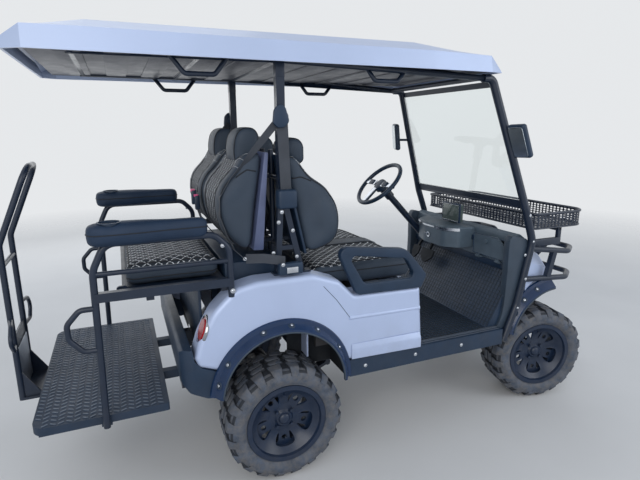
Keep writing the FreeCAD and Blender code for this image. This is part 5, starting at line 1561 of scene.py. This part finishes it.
def belt_straps(side, back):
    """The webbing of one side: guide to reel, hip to anchor, and over the seat's shoulder."""
    edge_on, flat = Vector((0.015, 0, -0.007)), LEFT * 0.023
    to_reel = places((34, side * 484, 1650), (38, side * 488, 1500), (42, side * 494, 1345))
    hip = places((-146, side * 494, 1068), (-70, side * 504, 1064), (24, side * 516, 1046))
    over = [place(x, side * y, z) for x, y, z in BELT_FROM_GUIDE]
    over += [on_surface(back, place(x, side * y, z), 0.003) for x, y, z in BELT_ON_BACK]
    over += [place(x, side * y, z) for x, y, z in BELT_TO_ANCHOR]
    return [even_ribbon(to_reel, Vector((0.024, 0, 0)), 2.4), even_ribbon(hip, UP * 0.021, 2.4),
            ribbon(over, [edge_on.lerp(flat, share) for share in BELT_TURNS], 2.4)]


def make_belts(near_back, far_back):
    """Seat belts with their guides, reels, anchors, buckles, buttons and blank plates."""
    straps, caps, buckles, buttons, plates = [], [], [], [], []
    for side, back in ((-1, near_back), (1, far_back)):
        straps += belt_straps(side, back)
        cap = outlined([place(x, side * 486, z) for x, z, ease in CAP_EDGE],
                       [ease for x, z, ease in CAP_EDGE])
        caps.append(eased(thickened(cap, LEFT * (side * 0.018)), 5))
        caps.append(box((-8, side * 514 - 16, 984), (102, side * 514 + 16, 1036), 5))
        caps.append(box((-2, side * 496 - 30, 1276), (84, side * 496 + 30, 1358), 12, 3))
        plates.append(box((26, side * 532 - 1.5, 992), (78, side * 532 + 1.5, 1018), 1))
    for x, y, z in ((-282, 48, 1312), (-270, 24, 1287)):
        buckles.append(box((x - 4, y - 13, z - 74), (x + 20, y + 13, z), 5))
        buttons.append(box((x - 7, y - 11, z - 8), (x + 14, y + 11, z + 5), 3))
        tail = places((-190, y, 1084), (-244, y, 1150), (x + 10, y, z - 66))
        straps.append(even_ribbon(tail, LEFT * 0.012, 5))
    finished("seat_belts", merged(*straps), "webbing", "chassis", smooth=60)
    finished("belt_hardware", merged(*caps, *buckles), "trim_black", "chassis")
    finished("belt_buttons", merged(*buttons), "belt_pink", "chassis")
    finished("belt_plates", merged(*plates), "bright_metal", "chassis")


# The middle (x, z) of each wheel arch.
REAR_ARCH = (0, 444)
FRONT_ARCH = (1664, 403)
# Bolt heads on both sides: x, distance from the middle, z, size.
SIDE_BOLTS = [
    (13, 516, 1264, 6.5), (12, 470, 1211, 6.5), (80, 462, 1168, 6.5), (-24, 500, 1083, 6),
    (86, 494, 1055, 6), (8, 533, 1034, 6.5), (-151, 496, 1069, 6), (-219, 546, 950, 8),
    (-252, 539, 1147, 6.5), (419, 539, 475, 7), (709, 539, 478, 7), (1000, 539, 476, 7),
    (1402, 534, 932, 6), (1386, 531, 625, 6), (1424, 531, 791, 6), (1460, 530, 1001, 6),
    (1416, 531, 1150, 6), (1312, 495, 1468, 6), (1290, 488, 1535, 6),
]
# Bolts in their pockets along the flares: node, arch, radius, distance from the middle, and each one's
# angle from straight ahead, in degrees.
FLARE_BOLTS = [
    ("rear_flares", REAR_ARCH, 316, 560, (32, 60, 84, 108, 145, 163)),
    ("front_flares", FRONT_ARCH, 330, 512, (112, 130, 146, 161)),
]
POCKET = [(8.5, 1.5), (11, 2.8), (15.5, 1.6), (17.5, -1.5), (8.5, -1.5)]


def on_arch(arch, y, radius, angle):
    """A place on a circle around a wheel arch's middle, from an angle in degrees."""
    x, z = arch
    return place(x + radius * math.cos(math.radians(angle)), y, z + radius * math.sin(math.radians(angle)))


def make_bolts():
    heads, pockets = [], []
    for side in (-1, 1):
        for x, y, z, size in SIDE_BOLTS:
            heads.append(bolt(place(x, side * y, z), (0, side, 0), size, size * 0.5))
        for node, arch, radius, reach, angles in FLARE_BOLTS:
            for angle in angles:
                target = on_arch(arch, side * reach, radius, angle)
                hit, centre, slope, face = frame["nodes"][node].closest_point_on_mesh(target)
                heads.append(bolt(centre + slope * 0.0025, slope, 5.0, 3.0))
                pockets.append(turned_at(POCKET, centre, slope, 24))
    finished("bolt_heads", merged(*heads), "bright_metal", "chassis", slot="frame_black", smooth=60)
    finished("flare_pockets", merged(*pockets), "trim_black", "chassis", slot="flare_black")


# A seam down the body's side, on the left, and how far out the side lies in metres.
SIDE_SEAM = [(197, 541, 912), (262, 541, 838), (331, 541, 741)]
BODY_SIDE = 0.54


def make_side_press():
    """The pressed rib and flared sill of the rear body's side, and the seam that runs down to them."""
    def side():
        rib = plate_across(331, ((534, 750), (545, 739), (545, 734), (534, 724)), [0, 3, 3, 0],
                           (0.394, 0, -0.008))
        for vert in rib.verts:
            if vert.co.x > ahead_of_axle(700):
                vert.co.y = min(vert.co.y, 0.5395)
        sill = plate_across(343, ((540, 606), (549, 590), (557, 574), (558, 524), (540, 522)),
                            [10, 8, 6, 2, 0], (0.383, 0, 0))
        for vert in sill.verts:
            if vert.co.x < ahead_of_axle(360):
                vert.co.y = BODY_SIDE + (vert.co.y - BODY_SIDE) * 0.15
        return merged(eased(rib, 1.5, 40, 2), eased(sill, 2, 40, 2))

    finished("side_presses", both(side), "body_silver", "chassis", smooth=45)
    body = frame["nodes"]["rear_body"]
    seams = []
    for side_y in (-1, 1):
        line = spread([place(x, side_y * y, z) for x, y, z in SIDE_SEAM], 0.008, closed=False)
        seams.append(round_bar([on_surface(body, point) for point in line], 2.6, sides=6))
    finished("body_seams", merged(*seams), "trim_black", "chassis", smooth=180)


# The rim's face from hub to lip, as (radius, along the axle), and its windows' inner and outer radius in
# metres. Each window takes up a fifth of the turn, in degrees.
RIM_PROFILE = [
    (27, 52), (44, 51), (56, 50), (66, 48), (78, 47), (92, 49), (106, 53), (118, 59), (130, 67), (142, 76),
    (154, 86), (165, 95), (172, 101), (177, 103),
]
WINDOW_INNER = 0.064
WINDOW_OUTER = 0.134
FIFTH = 72
# Half a spoke's angle at the windows' outer edge, and how much it grows inwards, in degrees.
SPOKE_HALF = 15
SPOKE_GROWTH = 5


def in_window(spot):
    """Whether a place on a rim's face lies in one of its five windows."""
    radius = math.hypot(spot.x, spot.z)
    angle = math.degrees(math.atan2(spot.x, spot.z)) % FIFTH
    spoke = SPOKE_HALF + SPOKE_GROWTH * (WINDOW_OUTER - radius) / (WINDOW_OUTER - WINDOW_INNER)
    return WINDOW_INNER < radius < WINDOW_OUTER and spoke < angle < FIFTH - spoke


def make_rim_faces():
    """The concave five-window face of each wheel, from its hub out to the lip."""
    for where in WHEELS:
        mesh = bmesh.new()
        verts = [mesh.verts.new((0, along / 1000, radius / 1000)) for radius, along in RIM_PROFILE]
        edges = [mesh.edges.new(pair) for pair in zip(verts, verts[1:])]
        bmesh.ops.spin(mesh, geom=verts + edges, cent=(0, 0, 0), axis=(0, 1, 0), angle=2 * math.pi,
                       steps=70, use_merge=True)
        windows = [face for face in mesh.faces if in_window(face.calc_center_median())]
        bmesh.ops.delete(mesh, geom=windows, context="FACES")
        for step in range(8):
            smoothed(mesh, [vert for vert in mesh.verts if vert.is_boundary
                            and 0.05 < math.hypot(vert.co.x, vert.co.z) < 0.16])
        facing_out(mesh)
        bmesh.ops.solidify(mesh, geom=mesh.faces[:], thickness=0.007)
        lip = turned([(170, 99), (176, 103), (181, 103), (183, 99), (178, 94)], 70)
        mesh = moved(merged(mesh, lip), wheel_place(where))
        finished(f"rim_face_{where}", mesh, "rim_black", f"wheel_{where}", smooth=40)


def arc(arch, y, radius, first, last, step=4):
    """Points around a wheel arch, from one angle to another in degrees."""
    count = round((last - first) / step)
    return [on_arch(arch, y, radius, first + (last - first) * i / count) for i in range(count + 1)]


def make_linings_and_arch_shade():
    """Dark linings of the seat box and rear bulkhead, and painted shade in the rear wheel arches: black sheets
    over and inboard of each wheel where the arch lies open in shade.
    """
    seat_box = merged(box((-222, -395, 806), (40, 395, 1030), 8), box((-345, -400, 600), (-332, 400, 930), 3))
    finished("seat_box_lining", seat_box, "trim_black", "chassis")

    # Painted shade: a black sheet over the wheel and another inboard of it, where the arch is open and shaded.
    def arch():
        return merged(even_ribbon(arc(REAR_ARCH, 420, 321, -2, 176), LEFT * 0.116, 2),
                      box((80, 338, 440), (330, 343, 812), 1))

    finished("arch_painted_shade", both(arch), "black_and_painted_shade", "chassis")


def make_flare_lips():
    """The rolled lips of the flares."""
    def lips():
        return merged(round_bar(arc(REAR_ARCH, 581, 290, 1, 173, 3), 9, sides=8),
                      round_bar(arc(FRONT_ARCH, 532, 300, 92, 166, 3), 9, sides=8))

    finished("flare_lips", both(lips), "post_grey", "chassis", slot="flare_black", smooth=180)


def make_roof_liner():
    """The roof's grey liner with its raised panels."""
    parts = [box((-890, -496, 1890), (1096, 496, 1898), 2)]
    parts += [box((x, -430, 1885), (x + 96, 430, 1894), 4) for x in range(-800, 1060, 168)]
    finished("roof_headliner", merged(*parts), "liner_grey", "chassis", slot="roof_silver")


def make_windscreen_rail():
    rail = plate_across(1396, ((-496, 1180), (496, 1180), (496, 1216), (-496, 1216)), [8] * 4, (0.012, 0, 0))
    finished("windscreen_lower_rail", eased(rail, 3), "frame_black", "chassis")


def make_bag_rack_sheet():
    """A brushed sheet on the bag rack."""
    sheet = plate_across(-1101, ((-112, 440), (112, 440), (112, 660), (-112, 660)), [16] * 4, (-0.003, 0, 0))
    finished("bag_rack_sheet", eased(sheet, 0.8), "brushed_metal", "chassis", slot="frame_black")


def merged_copy(node):
    """The mesh of a CAD node with its loose triangles joined."""
    mesh = bmesh.new()
    mesh.from_mesh(frame["nodes"][node].data)
    bmesh.ops.remove_doubles(mesh, verts=mesh.verts[:], dist=1e-5)
    return mesh


def softened_copy(name, node, size, segments):
    """A moulded part with its edges rounded, which replaces its CAD node."""
    mesh = merged_copy(node)
    bmesh.ops.dissolve_limit(mesh, angle_limit=math.radians(1), verts=mesh.verts[:], edges=mesh.edges[:])
    return finished(name, eased(mesh, size, 40, segments), "trim_black", "chassis", node)


# How far the roof's rails and hand holds are raised, in metres, and between which x this fades away.
ROOF_RAISE = 0.038
RAISE_FROM = ahead_of_axle(700)
RAISE_TO = ahead_of_axle(1100)


def raised_copy(name, node, posts):
    """A roof part moved up behind the fascia, less so towards the windscreen, which replaces its node."""
    mesh = merged_copy(node)
    for vert in mesh.verts:
        share = min(1, max(0, (RAISE_TO - vert.co.x) / (RAISE_TO - RAISE_FROM)))
        vert.co.z += ROOF_RAISE * share
    return finished(name, merged(mesh, *posts), "frame_black", "chassis", node)


make_basket()
make_footplate_tread()
make_floor_mats()
make_gap_panels()
make_dash_fittings()
make_lamps()
make_steering_fittings()
make_mirror_glass()
make_belts(bpy.data.objects["rear_back_right"], bpy.data.objects["rear_back_left"])
make_bolts()
make_side_press()
make_rim_faces()
make_bag_rack_sheet()
make_linings_and_arch_shade()
make_flare_lips()
make_roof_liner()
make_windscreen_rail()
softened_copy("rear_bumper_shell", "rear_bumper", 13, 4)
softened_copy("hip_guard_loops", "hip_loops", 8, 3)
raised_copy("roof_rails", "roof_frame",
            [box((17, y - 19, 1822), (55, y + 19, 1890), 1) for y in (-446, 446)])
raised_copy("roof_hand_holds", "roof_handles", [])


# Floor, backdrop and lights

# The light all round and the backdrop, each as colour and strength.
SKY = ((0.80, 0.88, 1.0), 0.62)
BACKDROP = ((0.86, 0.88, 0.90), 0.92)
# How far the floor reaches from its middle, and where it starts to fade and is gone, in metres.
FLOOR_REACH = 14
FADE_START = 3.6
FADE_END = 9.0
# Lamps: name, place, target and size in metres, power in watts, colour.
LAMPS = [
    ("key", (-3.2, -5.4, 3.6), (0.2, 0, 0.9), 4.0, 150, (1.0, 0.98, 0.95)),
    ("fill", (3.6, -3.4, 2.6), (0.4, 0, 0.8), 2.6, 50, (0.93, 0.96, 1.0)),
    ("back", (-1.5, 4.8, 3.0), (0, 0, 0.9), 5.0, 60, (0.96, 0.98, 1.0)),
]


def pale_floor():
    """A pale floor that thins out with distance, so that it melts into the backdrop."""
    finish = Finish("floor_pale", (0.70, 0.695, 0.685), 0.75)
    finish.mottled((0.66, 0.655, 0.645), 1.2)
    far = finish.tree.nodes.new("ShaderNodeVectorMath")
    far.operation = "LENGTH"
    finish.tree.links.new(finish.place, far.inputs[0])
    fade = ramp(finish.tree, far.outputs["Value"], FADE_START, FADE_END, 1.0, 0.0)
    finish.tree.links.new(fade, finish.shader.inputs["Alpha"])
    return finish.material


def lit(node, colour, strength):
    """Give a background node its colour and strength."""
    node.inputs["Color"].default_value = (*colour, 1)
    node.inputs["Strength"].default_value = strength


def make_world():
    """An even light all round, with a pale backdrop for what looks straight at it or reflects it."""
    world = bpy.data.worlds.new("studio")
    bpy.context.scene.world = world
    world.use_nodes = True
    tree = world.node_tree
    light = tree.nodes["Background"]
    lit(light, *SKY)
    backdrop = tree.nodes.new("ShaderNodeBackground")
    lit(backdrop, *BACKDROP)
    rays = tree.nodes.new("ShaderNodeLightPath")
    seen = calculate(tree, "MAXIMUM", rays.outputs["Is Camera Ray"],
                     calculate(tree, "MAXIMUM", rays.outputs["Is Glossy Ray"],
                               rays.outputs["Is Transmission Ray"]))
    choice = tree.nodes.new("ShaderNodeMixShader")
    tree.links.new(seen, choice.inputs["Fac"])
    tree.links.new(light.outputs[0], choice.inputs[1])
    tree.links.new(backdrop.outputs[0], choice.inputs[2])
    tree.links.new(choice.outputs[0], tree.nodes["World Output"].inputs["Surface"])


def make_stage():
    """The floor and soft studio lamps."""
    mesh = bmesh.new()
    bmesh.ops.create_grid(mesh, x_segments=1, y_segments=1, size=FLOOR_REACH)
    data = bpy.data.meshes.new("floor")
    mesh.to_mesh(data)
    mesh.free()
    floor = bpy.data.objects.new("floor", data)
    bpy.context.scene.collection.objects.link(floor)
    data.materials.append(pale_floor())
    make_world()
    for name, at, target, size, power, colour in LAMPS:
        data = bpy.data.lights.new(name, "AREA")
        data.size = size
        data.energy = power
        data.color = colour
        lamp = bpy.data.objects.new(name, data)
        lamp.location = at
        lamp.rotation_euler = (Vector(target) - Vector(at)).to_track_quat("-Z", "Y").to_euler()
        bpy.context.scene.collection.objects.link(lamp)
    bpy.context.scene.view_settings.view_transform = "Standard"


make_stage()
